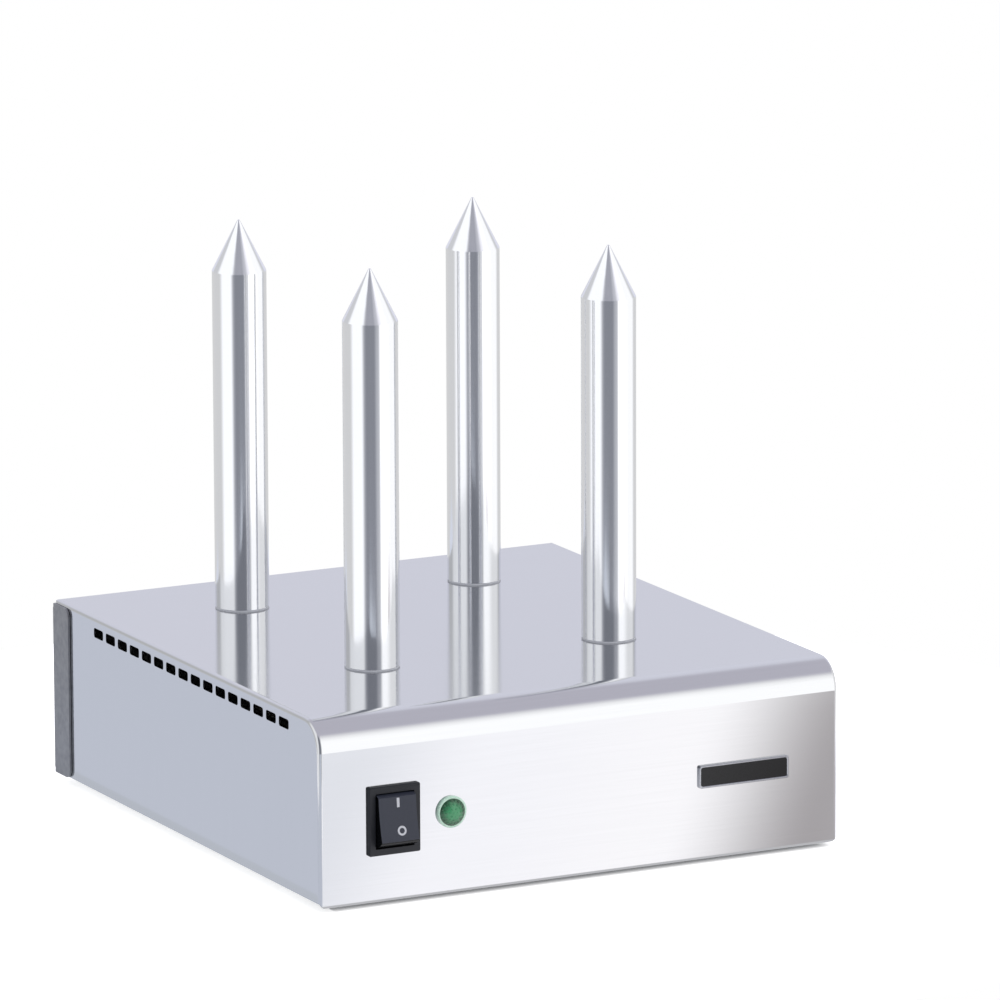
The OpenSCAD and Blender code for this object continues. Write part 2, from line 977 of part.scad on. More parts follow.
module gland_cap() {
    grip_end = 12;
    shoulder = 1;
    lip = 2;
    color(black)
        at_gland()
            difference() {
                union() {
                    translate([0, 0, gland_flange_t + seat])
                        cylinder(r = gland_cap_af / 2 / cos(30), h = grip_end - gland_flange_t, $fn = 6);
                    rotate_extrude()
                        polygon([
                            [0, gland_flange_t + seat], [gland_cap_af / 2, gland_flange_t + seat],
                            [gland_cap_af / 2, grip_end + shoulder], [gland_cap_hole_r + lip, gland_cap_end],
                            [0, gland_cap_end]
                        ]);
                }
                cylinder(r = gland_neck_r + seat, h = gland_seal_end + seat);
                cylinder(r = gland_cap_hole_r, h = gland_cap_end + cut);
            }
}

module gland_locknut() {
    color(black)
        at_gland()
            translate([0, 0, -sheet_t - gland_nut_t])
                hex_nut(gland_flange_af, gland_thread_r + seat, gland_nut_t);
}

// Rocker switch

// Frame with a bevelled front edge, standing on the panel
module bezel_solid() {
    hull() {
        along_y(-bezel_t + bezel_bevel, 0)
            rounded_square(bezel_w, bezel_h, bezel_corner_r);
        along_y(-bezel_t, -bezel_t + bezel_bevel)
            rounded_square(bezel_w - 2 * bezel_bevel, bezel_h - 2 * bezel_bevel,
                           bezel_corner_r);
    }
}

// Sprung barbs above and below the body that hold the switch in the panel
module switch_clips() {
    y_start = sheet_t + seat;
    for (side = [0, 1])
        mirror([0, 0, side])
            along_x(clip_w)
                polygon([
                    [y_start, switch_body_h / 2 - eps],
                    [y_start, switch_body_h / 2 + clip_out],
                    [y_start + clip_len, switch_body_h / 2 - eps]
                ]);
}

module switch_housing() {
    color(black)
        at_switch()
            difference() {
                union() {
                    bezel_solid();
                    along_y(-eps, switch_cavity + switch_floor)
                        square([switch_body_w, switch_body_h], center = true);
                    switch_clips();
                }
                along_y(-bezel_t - cut, switch_cavity)
                    square([opening_w, opening_h], center = true);
                translate([0, pivot_depth, 0])
                    rotate([0, 90, 0])
                        cylinder(r = pivot_r + pivot_play, h = switch_body_w + cut, center = true);
                for (pole = [-1, 1])
                    along_y(switch_cavity - cut, switch_cavity + switch_floor + cut)
                        for (z = [0, contact_up])
                            translate([pole * pole_x, z])
                                square([blade_w + 2 * seat, blade_t + 2 * seat], center = true);
            }
}

// Side outline of the rocker about its pivot, first axis to the rear; its ends are round about the pivot
module rocker_outline() {
    difference() {
        union() {
            intersection() {
                circle(rocker_end_r);
                translate([-rocker_face, -rocker_end_r])
                    square([rocker_face, 2 * rocker_end_r]);
            }
            polygon([
                [-rocker_back, -rocker_back_half], [-rocker_back, rocker_back_half],
                [0, rocker_end_r], [rocker_back, rocker_back_half],
                [rocker_back, -rocker_back_half], [0, -rocker_end_r]
            ]);
        }
        translate([-sqrt(pow(rocker_dish_r, 2) - pow(rocker_half, 2)) - rocker_face, 0])
            circle(rocker_dish_r, $fn = 256);
    }
}

module switch_rocker() {
    trunnion_end = opening_w / 2 + switch_wall - rocker_gap;
    color(black)
        at_rocker()
            difference() {
                union() {
                    along_x(rocker_w)
                        rocker_outline();
                    rotate([0, 90, 0])
                        cylinder(r = pivot_r, h = 2 * trunnion_end, center = true);
                    for (pole = [-1, 1])
                        translate([pole * pole_x, rocker_back - eps, 0])
                            rotate([-90, 0, 0])
                                cylinder(r = sleeve_r, h = sleeve_len - rocker_back);
                }
                for (pole = [-1, 1])
                    translate([pole * pole_x, 0, 0])
                        rotate([-90, 0, 0])
                            cylinder(r = sleeve_bore_r, h = sleeve_len + cut);
            }
}

// Plungers that slide in the rocker's sleeves and bear on the contact arms
module switch_plungers() {
    color(ceramic)
        at_rocker()
            for (pole = [-1, 1])
                translate([pole * pole_x, 0, 0])
                    rotate([-90, 0, 0])
                        rotate_extrude()
                            plunger_outline();
}

module plunger_outline() {
    head_start = sleeve_len - plunger_head;
    polygon([
        [0, head_start], [plunger_head_r, head_start], [plunger_head_r, sleeve_len],
        [plunger_tip_r, sleeve_len], [plunger_tip_r, plunger_reach], [0, plunger_reach]
    ]);
    intersection() {
        translate([0, plunger_reach])
            circle(plunger_tip_r);
        translate([0, plunger_reach - eps])
            square(2 * plunger_tip_r);
    }
}

// Coil springs behind the plungers
module switch_springs() {
    spring_end = sleeve_len - plunger_head - 2 * spring_wire_r;
    color(zinc)
        at_rocker()
            for (pole = [-1, 1])
                translate([pole * pole_x, spring_start, 0])
                    rotate([-90, 0, 0])
                        coil(spring_r, spring_wire_r, spring_end - spring_start, spring_turns);
}

// Helix of round wire about the third axis, as one closed tube
module coil(r, wire_r, h, turns) {
    sides = 6;
    turn_steps = 12;
    steps = turn_steps * turns;
    rings = [for (i = [0 : steps]) coil_ring(r, wire_r, h * i / steps, 360 * turns * i / steps, sides)];
    tube(rings, sides);
}

// Closed tube through rings of corners
module tube(rings, sides) {
    steps = len(rings) - 1;
    points = [for (one = rings, p = one) p];
    start_cap = [for (j = [0 : sides - 1]) sides - 1 - j];
    end_cap = [for (j = [0 : sides - 1]) steps * sides + j];
    walls = [
        for (i = [0 : steps - 1], j = [0 : sides - 1], half = [0, 1])
            let (k = (j + 1) % sides, a = i * sides, b = a + sides)
                half == 0 ? [a + j, a + k, b + k] : [a + j, b + k, b + j]
    ];
    polyhedron(points, concat([start_cap, end_cap], walls));
}

// Corners of the wire's section at one angle round the coil
function coil_ring(r, wire_r, z, turn, sides) = [
    for (j = [0 : sides - 1])
        let (a = 360 * j / sides, out = r + wire_r * cos(a))
            [out * cos(turn), out * sin(turn), z + wire_r * sin(a)]
];

// Rocking contact strips on their fulcrum ribs; the lower ends rest pressed in
module contact_arms() {
    color(brass)
        at_switch()
            translate([0, arm_depth, 0])
                rotate([arm_swing, 0, 0])
                    for (pole = [-1, 1])
                        translate([pole * pole_x, 0, 0])
                            contact_arm();
}

module contact_arm() {
    translate([-arm_w / 2, -arm_front, -arm_half])
        cube([arm_w, arm_t, 2 * arm_half]);
    intersection() {
        rotate([0, 90, 0])
            cylinder(r = arm_rib_r, h = arm_w, center = true);
        translate([-arm_w, 0, -arm_w])
            cube(2 * arm_w);
    }
    translate([0, arm_t - arm_front - eps, contact_up])
        rotate([-90, 0, 0])
            cylinder(r = contact_r, h = contact_h);
}

// Blades with the fulcrum saddles and the fixed contacts
module switch_terminals() {
    contact_front = arm_depth + (arm_half - contact_r) * sin(arm_swing)
        + (arm_t - arm_front + contact_h) * cos(arm_swing) + contact_r * sin(arm_swing) + contact_gap;
    color(brass)
        at_switch()
            for (pole = [-1, 1])
                translate([pole * pole_x, 0, 0]) {
                    fulcrum_blade();
                    translate([0, 0, contact_up])
                        contact_blade(contact_front);
                }
}

module fulcrum_blade() {
    saddle_front = arm_depth + arm_t - arm_front + saddle_half * sin(arm_swing) + contact_gap;
    difference() {
        union() {
            translate([-arm_w / 2, saddle_front, -saddle_half])
                cube([arm_w, switch_cavity - saddle_front, 2 * saddle_half]);
            translate([-blade_w / 2, switch_cavity - eps, -blade_t / 2])
                cube([blade_w, blade_end - switch_cavity, blade_t]);
        }
        translate([0, arm_depth, 0])
            rotate([0, 90, 0])
                cylinder(r = arm_rib_r + pivot_play, h = 2 * arm_w, center = true);
    }
}

module contact_blade(front) {
    translate([0, front, 0])
        rotate([-90, 0, 0])
            cylinder(r = contact_r, h = switch_cavity - front);
    translate([-blade_w / 2, switch_cavity - eps, -blade_t / 2])
        cube([blade_w, blade_end - switch_cavity, blade_t]);
}

// Pilot lamp

module lamp_lens() {
    dome_curve = (pow(lamp_dome_r, 2) + pow(lamp_dome_h, 2)) / (2 * lamp_dome_h);
    color(green)
        at_lamp()
            rotate_extrude() {
                square([lamp_d / 2, lamp_flange_t]);
                translate([0, -lamp_plug])
                    square([lamp_tube_bore_r - seat, lamp_plug + eps]);
                intersection() {
                    translate([0, lamp_flange_t + lamp_dome_h - dome_curve])
                        circle(dome_curve);
                    translate([0, lamp_flange_t - eps])
                        square(lamp_d);
                }
            }
}

module lamp_body() {
    color(dark_fibre)
        at_lamp()
            difference() {
                translate([0, 0, -lamp_len])
                    cylinder(r = lamp_tube_r, h = lamp_len);
                translate([0, 0, lamp_end_t - lamp_len])
                    cylinder(r = lamp_tube_bore_r, h = lamp_len);
                for (side = [-1, 1])
                    translate([side * lamp_tab_x, 0, -lamp_len])
                        cube([lamp_tab_t + 2 * seat, lamp_tab_w + 2 * seat, 4 * lamp_end_t], center = true);
            }
}

module lamp_bulb() {
    bulb_gap = 2;
    bulb_start = lamp_len - lamp_end_t - bulb_gap;
    color(ceramic)
        at_lamp()
            translate([0, 0, -bulb_start]) {
                cylinder(r = bulb_r, h = bulb_len - bulb_r);
                translate([0, 0, bulb_len - bulb_r])
                    sphere(bulb_r);
            }
}

module lamp_clip() {
    color(zinc)
        at_lamp()
            translate([0, 0, -sheet_t - lamp_clip_t])
                ring(lamp_clip_r, lamp_tube_r + seat, lamp_clip_t);
}

module lamp_tabs() {
    color(brass)
        at_lamp()
            for (side = [-1, 1])
                translate([side * lamp_tab_x, 0, -lamp_len])
                    translate([-lamp_tab_t / 2, -lamp_tab_w / 2, -lamp_tab_len])
                        cube([lamp_tab_t, lamp_tab_w, lamp_tab_len + lamp_end_t]);
}

// Inner wiring

// Point at share t along a curve that leaves p0 towards p1 and arrives at p3 from p2
function curve_point(p0, p1, p2, p3, t) =
    pow(1 - t, 3) * p0 + 3 * pow(1 - t, 2) * t * p1 + 3 * (1 - t) * pow(t, 2) * p2 + pow(t, 3) * p3;

// Direction of the same curve at share t
function curve_way(p0, p1, p2, p3, t) =
    pow(1 - t, 2) * (p1 - p0) + 2 * (1 - t) * t * (p2 - p1) + pow(t, 2) * (p3 - p2);

// Corners of a wire's section, square to the wire's direction
function wire_ring(point, way, r, keel) =
    let (
        across = cross(way, keel) / norm(cross(way, keel)),
        upright = cross(across, way) / norm(way)
    )
    [for (j = [0 : wire_sides - 1])
        let (a = 360 * j / wire_sides)
            point + r * (cos(a) * across + sin(a) * upright)];

// Wire between two ends; leave and arrive are its directions there, as long as its bends are slack.
// The keel is a direction that the wire never runs along.
module wire(from, leave, to, arrive, r, keel) {
    start = from + wire_stub * leave / norm(leave);
    end = to - wire_stub * arrive / norm(arrive);
    bend = [
        for (i = [0 : wire_steps])
            let (t = i / wire_steps)
                wire_ring(
                    curve_point(start, start + leave, end - arrive, end, t),
                    curve_way(start, start + leave, end - arrive, end, t), r, keel)
    ];
    tube(concat([wire_ring(from, leave, r, keel)], bend, [wire_ring(to, arrive, r, keel)]), wire_sides);
}

// End of a wire in a terminal: side -1 is the front of the block, and off and up are the place in the bore
function terminal_end(pole, side, off, up) =
    pole_place(pole) + [off, side * (insert_end - wire_entry), z_floor + insert_up + up];

// Lower end of a thermostat tab
function thermostat_tab_end(side) =
    thermostat_place + [side * thermostat_tab_x, 0, -thermostat_h - thermostat_tab_len];

// Rear end of a switch blade, at a height from the switch's middle
function blade_place(pole, up) = [x_switch + pole * pole_x, y_front + blade_end, z_control + up];

// From the terminal block to the switch
module supply_wires() {
    color(wire_sleeve)
        for (pole = [-1, 1])
            wire(blade_place(pole, 0), [0, supply_slack, 0],
                 terminal_end(pole < 0 ? live_pole : neutral_pole, -1, 0, 0), [0, supply_slack, 0],
                 wire_r, [0, 0, 1]);
}

// From the switch to the thermostat and back to the block
module switched_wires() {
    color(wire_sleeve) {
        wire(blade_place(-1, contact_up), [0, thermostat_leave, 0],
             thermostat_tab_end(-1), [0, 0, thermostat_drop], wire_r, [1, -1, 0]);
        wire(blade_place(1, contact_up), [0, switched_leave, 0],
             terminal_end(switched_neutral_pole, -1, 0, 0), [0, switched_arrive, 0], wire_r, [0, 0, 1]);
    }
}

// From the thermostat to the block
module thermostat_wire() {
    color(wire_sleeve)
        wire(thermostat_tab_end(1), [0, 0, -thermostat_drop],
             terminal_end(thermostat_pole, -1, 0, 0), [0, thermostat_arrive, 0], wire_r, [1, -1, 0]);
}

// Two leads from each heating cartridge to the block; those from the left have more slack
module heater_leads() {
    pair_off = lead_r + eps;
    color(wire_sleeve)
        for (end = [-1, 1], side = [-1, 1]) {
            pole = end < 0 ? heater_live_pole : heater_neutral_pole;
            stagger = side < 0 ? end * lead_stagger : 0;
            front_slack = stagger + (side < 0 ? front_left_slack : front_right_slack);
            rear_slack = stagger + (side < 0 ? rear_left_slack : rear_right_slack);
            wire(spike_place(side, 0) + [end * lead_off, 0, z_heater], [0, 0, -lead_drop],
                 terminal_end(pole, -1, side * pair_off, lead_up), [0, front_slack, 0],
                 lead_r, [1, -1, 0]);
            wire(spike_place(side, 1) + [end * lead_off, 0, z_heater], [0, 0, -lead_drop],
                 terminal_end(pole, 1, side * pair_off, lead_up), [0, -rear_slack, 0],
                 lead_r, [1, 1, 1]);
        }
}

// Wire links behind the block, which feed the heating cartridges' poles
module block_links() {
    color(brass)
        for (pair = [[thermostat_pole, heater_live_pole], [switched_neutral_pole, heater_neutral_pole]])
            wire(terminal_end(pair[0], 1, 0, link_up), [0, link_slack, 0],
                 terminal_end(pair[1], 1, 0, link_up), [0, -link_slack, 0], link_r, [0, 0, 1]);
}

// From the lamp to the undersides of the switch's contact blades
module lamp_leads() {
    color(wire_sleeve)
        for (side = [-1, 1])
            wire([x_lamp + side * lamp_tab_x, y_front + lamp_len + lamp_tab_len, z_control],
                 [0, lamp_slack + side * lead_stagger, 0],
                 blade_place(-side, contact_up) - [0, blade_w / 2, blade_t / 2],
                 [0, 0, lamp_slack + side * lead_stagger], lead_r, [1, 1, -1]);
}

// Feet and screws

// Rubber foot with a counterbore for its screw
module foot(side, row) {
    foot_r = foot_d / 2;
    lead = 1;
    color(black)
        translate(foot_place(side, row))
            rotate_extrude()
                polygon([
                    [foot_screw_head_r + loose, 0], [foot_r - lead, 0], [foot_r, lead],
                    [foot_r, z_base_low], [screw_r + seat, z_base_low],
                    [screw_r + seat, foot_bore_depth], [foot_screw_head_r + loose, foot_bore_depth]
                ]);
}

module foot_front_left() foot(-1, 0);
module foot_front_right() foot(1, 0);
module foot_rear_left() foot(-1, 1);
module foot_rear_right() foot(1, 1);

module foot_screws() {
    shank_len = z_floor - foot_bore_depth + foot_screw_tail;
    color(zinc)
        at_each_foot()
            translate([0, 0, foot_bore_depth])
                mirror([0, 0, 1])
                    pan_screw(foot_screw_head_r, screw_head_h, screw_r, shank_len);
}

module base_screws() {
    color(zinc)
        at_each_base_screw()
            translate([0, 0, z_base_low])
                mirror([0, 0, 1])
                    pan_screw(screw_head_r, screw_head_h, screw_r, screw_len);
}

module rear_screws() {
    color(zinc)
        at_each_rear_screw()
            pan_screw(screw_head_r, screw_head_h, screw_r, screw_len);
}

body_shell();
rear_panel();
base_plate();
carrier_plate();
spike_front_left();
spike_front_right();
spike_rear_left();
spike_rear_right();
spike_gaskets();
spike_washers();
spike_nuts();
heater_front_left();
heater_front_right();
heater_rear_left();
heater_rear_right();
heater_set_screws();
thermostat();
thermostat_tabs();
thermostat_screws();
terminal_block();
terminal_inserts();
terminal_screws();
block_screws();
earth_stud();
earth_washer();
earth_nut();
supply_wires();
switched_wires();
thermostat_wire();
heater_leads();
lamp_leads();
block_links();
gland_body();
gland_seal();
gland_cap();
gland_locknut();
switch_housing();
switch_rocker();
switch_plungers();
switch_springs();
contact_arms();
switch_terminals();
lamp_lens();
lamp_body();
lamp_bulb();
lamp_clip();
lamp_tabs();
foot_front_left();
foot_front_right();
foot_rear_left();
foot_rear_right();
foot_screws();
base_screws();
rear_screws();
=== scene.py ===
"""Heated spike toaster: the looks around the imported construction.

The frame holds every piece at its real size. This script gives each surface its finish, rounds the edges
of the moulded and cut pieces, and adds what is too small or too plain for the construction: the switch
marks, the bare name plate, the facets of the lamp lens and the recesses of the screws. Lengths are named
in millimetres and turned to metres where a mesh is made.
"""

import json
import logging
import math
from collections.abc import Sequence
from dataclasses import dataclass, field
from enum import Enum
from typing import ClassVar

import bmesh
import bpy
from mathutils import Matrix, Vector


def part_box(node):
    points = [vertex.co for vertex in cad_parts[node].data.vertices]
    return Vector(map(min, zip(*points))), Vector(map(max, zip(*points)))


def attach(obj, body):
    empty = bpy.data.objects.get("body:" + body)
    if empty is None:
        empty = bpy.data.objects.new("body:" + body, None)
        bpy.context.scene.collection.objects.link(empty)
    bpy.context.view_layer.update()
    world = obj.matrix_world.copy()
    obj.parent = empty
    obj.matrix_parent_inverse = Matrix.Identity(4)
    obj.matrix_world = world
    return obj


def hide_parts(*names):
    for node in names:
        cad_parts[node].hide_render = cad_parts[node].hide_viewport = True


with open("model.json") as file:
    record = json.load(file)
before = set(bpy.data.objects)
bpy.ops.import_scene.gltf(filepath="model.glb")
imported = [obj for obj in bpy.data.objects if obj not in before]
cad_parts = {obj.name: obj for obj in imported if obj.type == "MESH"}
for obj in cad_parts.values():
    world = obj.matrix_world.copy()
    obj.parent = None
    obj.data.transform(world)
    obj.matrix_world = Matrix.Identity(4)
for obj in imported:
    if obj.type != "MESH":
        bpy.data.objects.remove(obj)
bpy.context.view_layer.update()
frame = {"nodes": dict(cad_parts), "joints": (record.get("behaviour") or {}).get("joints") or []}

LOG = logging.getLogger("toaster")
MM = 0.001                          # metres in a millimetre
MERGE_GAP = 1e-6                    # corners closer than this are one corner
FLAT_ANGLE = math.radians(0.4)      # faces that meet flatter than this are one face
SHARP_ANGLE = math.radians(32)      # edges sharper than this get a rounding
ROUND_STEPS = 48                    # sides of a small round piece
CORNER_STEPS = 6                    # steps round the corner of an outline
BEVEL_STEPS = 2                     # faces across a rounded edge
NOISE_LOW = 0.3                     # most of a noise lies above this
NOISE_HIGH = 0.7                    # and below this
CORNERS = ("front_left", "front_right", "rear_left", "rear_right")

# Sockets that share their name with others of the node, by number
FIRST_NUMBER = 2                    # a Mix node's inputs for two numbers
SECOND_NUMBER = 3
FIRST_COLOUR = 6                    # its inputs for two colours
SECOND_COLOUR = 7
MIXED_COLOUR = 2                    # its output for a colour
MOST_NUMBER = 3                     # a Random Value node's input for the largest number
RANDOM_NUMBER = 1                   # its output for a number

Link = bpy.types.NodeSocket
Tree = bpy.types.NodeTree
Triple = tuple[float, float, float]


class Body(Enum):
    """The bodies that new pieces move with."""

    CASE = "case"
    ROCKER = "rocker"


class Slot(Enum):
    """The record's material slots."""

    DULL_STAINLESS = "dull_stainless"
    BLACK_PLASTIC = "black_plastic"
    GREEN_LENS = "green_lens"
    ZINC_STEEL = "zinc_steel"


class Facing(Enum):
    """Turn about the side-to-side axis that points a shape built upwards another way."""

    FRONT = math.radians(90)
    REAR = math.radians(-90)
    DOWN = math.radians(180)


def linear(colour: str) -> tuple[float, float, float, float]:
    """Turn an sRGB hex colour to linear light.

    Args:
        colour: Six hex digits after a hash.

    Returns:
        Red, green, blue and full cover.
    """
    parts = [int(colour[i:i + 2], 16) / 255 for i in (1, 3, 5)]
    light = [p / 12.92 if p <= 0.04045 else ((p + 0.055) / 1.055) ** 2.4 for p in parts]
    return light[0], light[1], light[2], 1.0


def feed(tree: Tree, node: bpy.types.Node, inputs: dict) -> None:
    """Set or link inputs of a node.

    Args:
        tree: Tree that holds the node.
        node: Node that gets the inputs.
        inputs: A value or another node's output for each input, by name or number.
    """
    for key, value in inputs.items():
        if isinstance(value, Link):
            tree.links.new(value, node.inputs[key])
        else:
            node.inputs[key].default_value = value


def add_node(tree: Tree, kind: str, inputs: dict | None = None, **settings: object) -> bpy.types.NodeOutputs:
    """Add one node with its settings and links.

    Args:
        tree: Tree that gets the node.
        kind: Blender's type name of the node.
        inputs: A value or another node's output for each input, by name or number.
        settings: Attributes of the node.

    Returns:
        The new node's outputs.
    """
    node = tree.nodes.new(kind)
    for name, value in settings.items():
        setattr(node, name, value)
    feed(tree, node, inputs or {})
    return node.outputs


def grain(tree: Tree, size_mm: Triple, detail: float = 2.0) -> Link:
    """Add a noise whose features have a real size along each axis.

    Args:
        tree: Tree of the material.
        size_mm: Size of a feature along the three axes.
        detail: How many finer layers the noise has.

    Returns:
        The noise, mostly between NOISE_LOW and NOISE_HIGH.
    """
    place = add_node(tree, "ShaderNodeTexCoord")
    scale = [1 / (size * MM) for size in size_mm]
    sized = add_node(tree, "ShaderNodeMapping", {"Vector": place["Object"], "Scale": scale})
    noise = add_node(tree, "ShaderNodeTexNoise", {"Vector": sized[0], "Scale": 1.0, "Detail": detail})
    return noise[0]


def between(tree: Tree, noise: Link, low: float = 0.0, high: float = 1.0) -> Link:
    """Stretch a noise so that its low end gives one value and its high end another."""
    limits = {"Value": noise, "From Min": NOISE_LOW, "From Max": NOISE_HIGH, "To Min": low, "To Max": high}
    return add_node(tree, "ShaderNodeMapRange", limits)[0]


def around(tree: Tree, noise: Link, middle: float, spread: float) -> Link:
    """Let a value wander with a noise, as far below its middle as above it."""
    return between(tree, noise, middle - spread, middle + spread)


def blended(tree: Tree, share: Link, first: str, second: str) -> Link:
    """Blend two hex colours: the first at a share of 0, the second at 1."""
    ends = {0: share, FIRST_COLOUR: linear(first), SECOND_COLOUR: linear(second)}
    return add_node(tree, "ShaderNodeMix", ends, data_type="RGBA")[MIXED_COLOUR]


def overlap(tree: Tree, *limits: tuple[Link, float, float]) -> Link:
    """Say where several soft limits hold together.

    Args:
        tree: Tree of the material or the world.
        limits: For each, a value, the level at which it doesn't hold yet, and the level at which it does.

    Returns:
        0 where one limit doesn't hold, 1 where all do.
    """
    share: Link | float = 1.0
    for value, outside, inside in limits:
        ends = {"Value": value, "From Min": outside, "From Max": inside}
        part = add_node(tree, "ShaderNodeMapRange", ends, interpolation_type="SMOOTHSTEP")[0]
        share = add_node(tree, "ShaderNodeMath", {0: share, 1: part}, operation="MULTIPLY")[0]
    return share


def new_material(name: str) -> bpy.types.Material:
    """Make a material with nodes.

    Args:
        name: Name of the material.

    Returns:
        The material, with Blender's usual shader.
    """
    made = bpy.data.materials.new(name)
    made.use_nodes = True
    return made


@dataclass(frozen=True)
class Finish:
    """What every finish shares: a name, and one material made on first use."""

    name: str

    def material(self) -> bpy.types.Material:
        """Give the finish's material.

        Returns:
            The material, the same one on every call.
        """
        known = bpy.data.materials.get(self.name)
        if known:
            return known
        made = new_material(self.name)
        self.shade(made.node_tree, made.node_tree.nodes["Principled BSDF"])
        return made

    def shade(self, tree: Tree, shader: bpy.types.Node) -> None:
        """Wire the finish's pattern to its shader.

        Args:
            tree: Tree of the material.
            shader: The material's shader.
        """
        raise NotImplementedError


@dataclass(frozen=True)
class MottledFinish(Finish):
    """An even surface whose colour, gloss and height wander a little, as moulded and plated ones do."""

    colour: str
    second_colour: str
    roughness: float
    roughness_spread: float = 0.06
    metallic: float = 0.0
    grain_mm: float = 0.8
    bump_mm: float = 0.01
    ior: float = 1.5

    def shade(self, tree: Tree, shader: bpy.types.Node) -> None:
        """Wire one noise to colour, gloss and height.

        Args:
            tree: Tree of the material.
            shader: The material's shader.
        """
        noise = grain(tree, (self.grain_mm,) * 3)
        bump = add_node(tree, "ShaderNodeBump", {"Height": noise, "Distance": self.bump_mm * MM})
        feed(tree, shader, {
            "Base Color": blended(tree, between(tree, noise), self.colour, self.second_colour),
            "Roughness": around(tree, noise, self.roughness, self.roughness_spread),
            "Metallic": self.metallic,
            "IOR": self.ior,
            "Normal": bump[0],
        })


@dataclass(frozen=True)
class RockerPlastic(Finish):
    """Moulded plastic with a grained face, and polished walls at its sides and below it that are painted near
    black as shade.
    """

    colour: str
    second_colour: str
    # colour of the painted shade on the walls at the sides and below
    wall_shade_colour: str
    roughness: float
    side_roughness: float
    side_shine: float
    grain_mm: float
    bump_mm: float
    ior: float
    face_shine: float = 0.5
    below_weight: float = 1.5                       # the wall below leans less than those at the sides
    wall_slope: tuple[float, float] = (0.6, 0.9)    # where the polish and the painted shade begin, and where they are whole

    def shade(self, tree: Tree, shader: bpy.types.Node) -> None:
        """Wire the grain to the face's colour and height, and the polish and a painted shade to the walls.

        Args:
            tree: Tree of the material.
            shader: The material's shader.
        """
        facing = add_node(tree, "ShaderNodeNewGeometry")["Normal"]
        axes = add_node(tree, "ShaderNodeSeparateXYZ", {0: facing})
        sideways = add_node(tree, "ShaderNodeMath", {0: axes["X"]}, operation="ABSOLUTE")[0]
        weighed = {0: axes["Z"], 1: -self.below_weight}
        downwards = add_node(tree, "ShaderNodeMath", weighed, operation="MULTIPLY")[0]
        steep = add_node(tree, "ShaderNodeMath", {0: sideways, 1: downwards}, operation="MAXIMUM")[0]
        begins, whole = self.wall_slope
        slope = {"Value": steep, "From Min": begins, "From Max": whole}
        on_shaded_wall = add_node(tree, "ShaderNodeMapRange", slope)[0]
        noise = grain(tree, (self.grain_mm,) * 3)
        face = blended(tree, between(tree, noise), self.colour, self.second_colour)
        # painted shade: the walls and the end below turn near black
        ends = {0: on_shaded_wall, FIRST_COLOUR: face, SECOND_COLOUR: linear(self.wall_shade_colour)}
        gloss = {"Value": on_shaded_wall, "To Min": self.roughness, "To Max": self.side_roughness}
        shine = {"Value": on_shaded_wall, "To Min": self.face_shine, "To Max": self.side_shine}
        bump = add_node(tree, "ShaderNodeBump", {"Height": noise, "Distance": self.bump_mm * MM})
        feed(tree, shader, {
            "Base Color": add_node(tree, "ShaderNodeMix", ends, data_type="RGBA")[MIXED_COLOUR],
            "Roughness": add_node(tree, "ShaderNodeMapRange", gloss)[0],
            "Specular IOR Level": add_node(tree, "ShaderNodeMapRange", shine)[0],
            "IOR": self.ior,
            "Normal": bump[0],
        })


@dataclass(frozen=True)
class LinedMetal(Finish):
    """Metal worked along a line: reflections stay sharp along the line and smear across it."""

    colour: str
    line_colour: str
    roughness: float
    roughness_spread: float
    smear: float
    line_length_mm: float
    line_pitch_mm: float
    line_depth_mm: float

    def lines(self, tree: Tree) -> tuple[Link, Link]:
        """Draw the lines.

        Args:
            tree: Tree of the material.

        Returns:
            The height of the lines, and the way in which they smear reflections.
        """
        raise NotImplementedError

    def shade(self, tree: Tree, shader: bpy.types.Node) -> None:
        """Wire the lines to colour, gloss, height and the direction of the smear.

        Args:
            tree: Tree of the material.
            shader: The material's shader.
        """
        height, smear_way = self.lines(tree)
        bump = add_node(tree, "ShaderNodeBump", {"Height": height, "Distance": self.line_depth_mm * MM})
        feed(tree, shader, {
            "Base Color": blended(tree, between(tree, height), self.colour, self.line_colour),
            "Roughness": around(tree, height, self.roughness, self.roughness_spread),
            "Metallic": 1.0,
            "Anisotropic": self.smear,
            "Tangent": smear_way,
            "Normal": bump[0],
        })


@dataclass(frozen=True)
class BrushedSheet(LinedMetal):
    """Rolled sheet whose line runs from side to side over front and top, and folds down with the sides."""

    side_slope: float = 0.8         # sideways share of the normal past which the sheet is a side

    def lines(self, tree: Tree) -> tuple[Link, Link]:
        """Draw the brushed line.

        Args:
            tree: Tree of the material.

        Returns:
            The height of the lines, and the way in which they smear reflections.
        """
        facing = add_node(tree, "ShaderNodeNewGeometry")["Normal"]
        sideways = add_node(tree, "ShaderNodeSeparateXYZ", {0: facing})[0]
        steep = add_node(tree, "ShaderNodeMath", {0: sideways}, operation="ABSOLUTE")[0]
        limit = {0: steep, 1: self.side_slope}
        on_side = add_node(tree, "ShaderNodeMath", limit, operation="GREATER_THAN")[0]
        long, pitch = self.line_length_mm, self.line_pitch_mm
        level, upright = grain(tree, (long, pitch, pitch)), grain(tree, (pitch, pitch, long))
        ways = {0: on_side, FIRST_NUMBER: level, SECOND_NUMBER: upright}
        across = add_node(tree, "ShaderNodeVectorMath", {0: (1, 0, 0), 1: facing}, operation="CROSS_PRODUCT")
        never_zero = {0: across[0], 1: (0, -0.001, 0)}
        smear_way = add_node(tree, "ShaderNodeVectorMath", never_zero, operation="ADD")[0]
        return add_node(tree, "ShaderNodeMix", ways)[0], smear_way


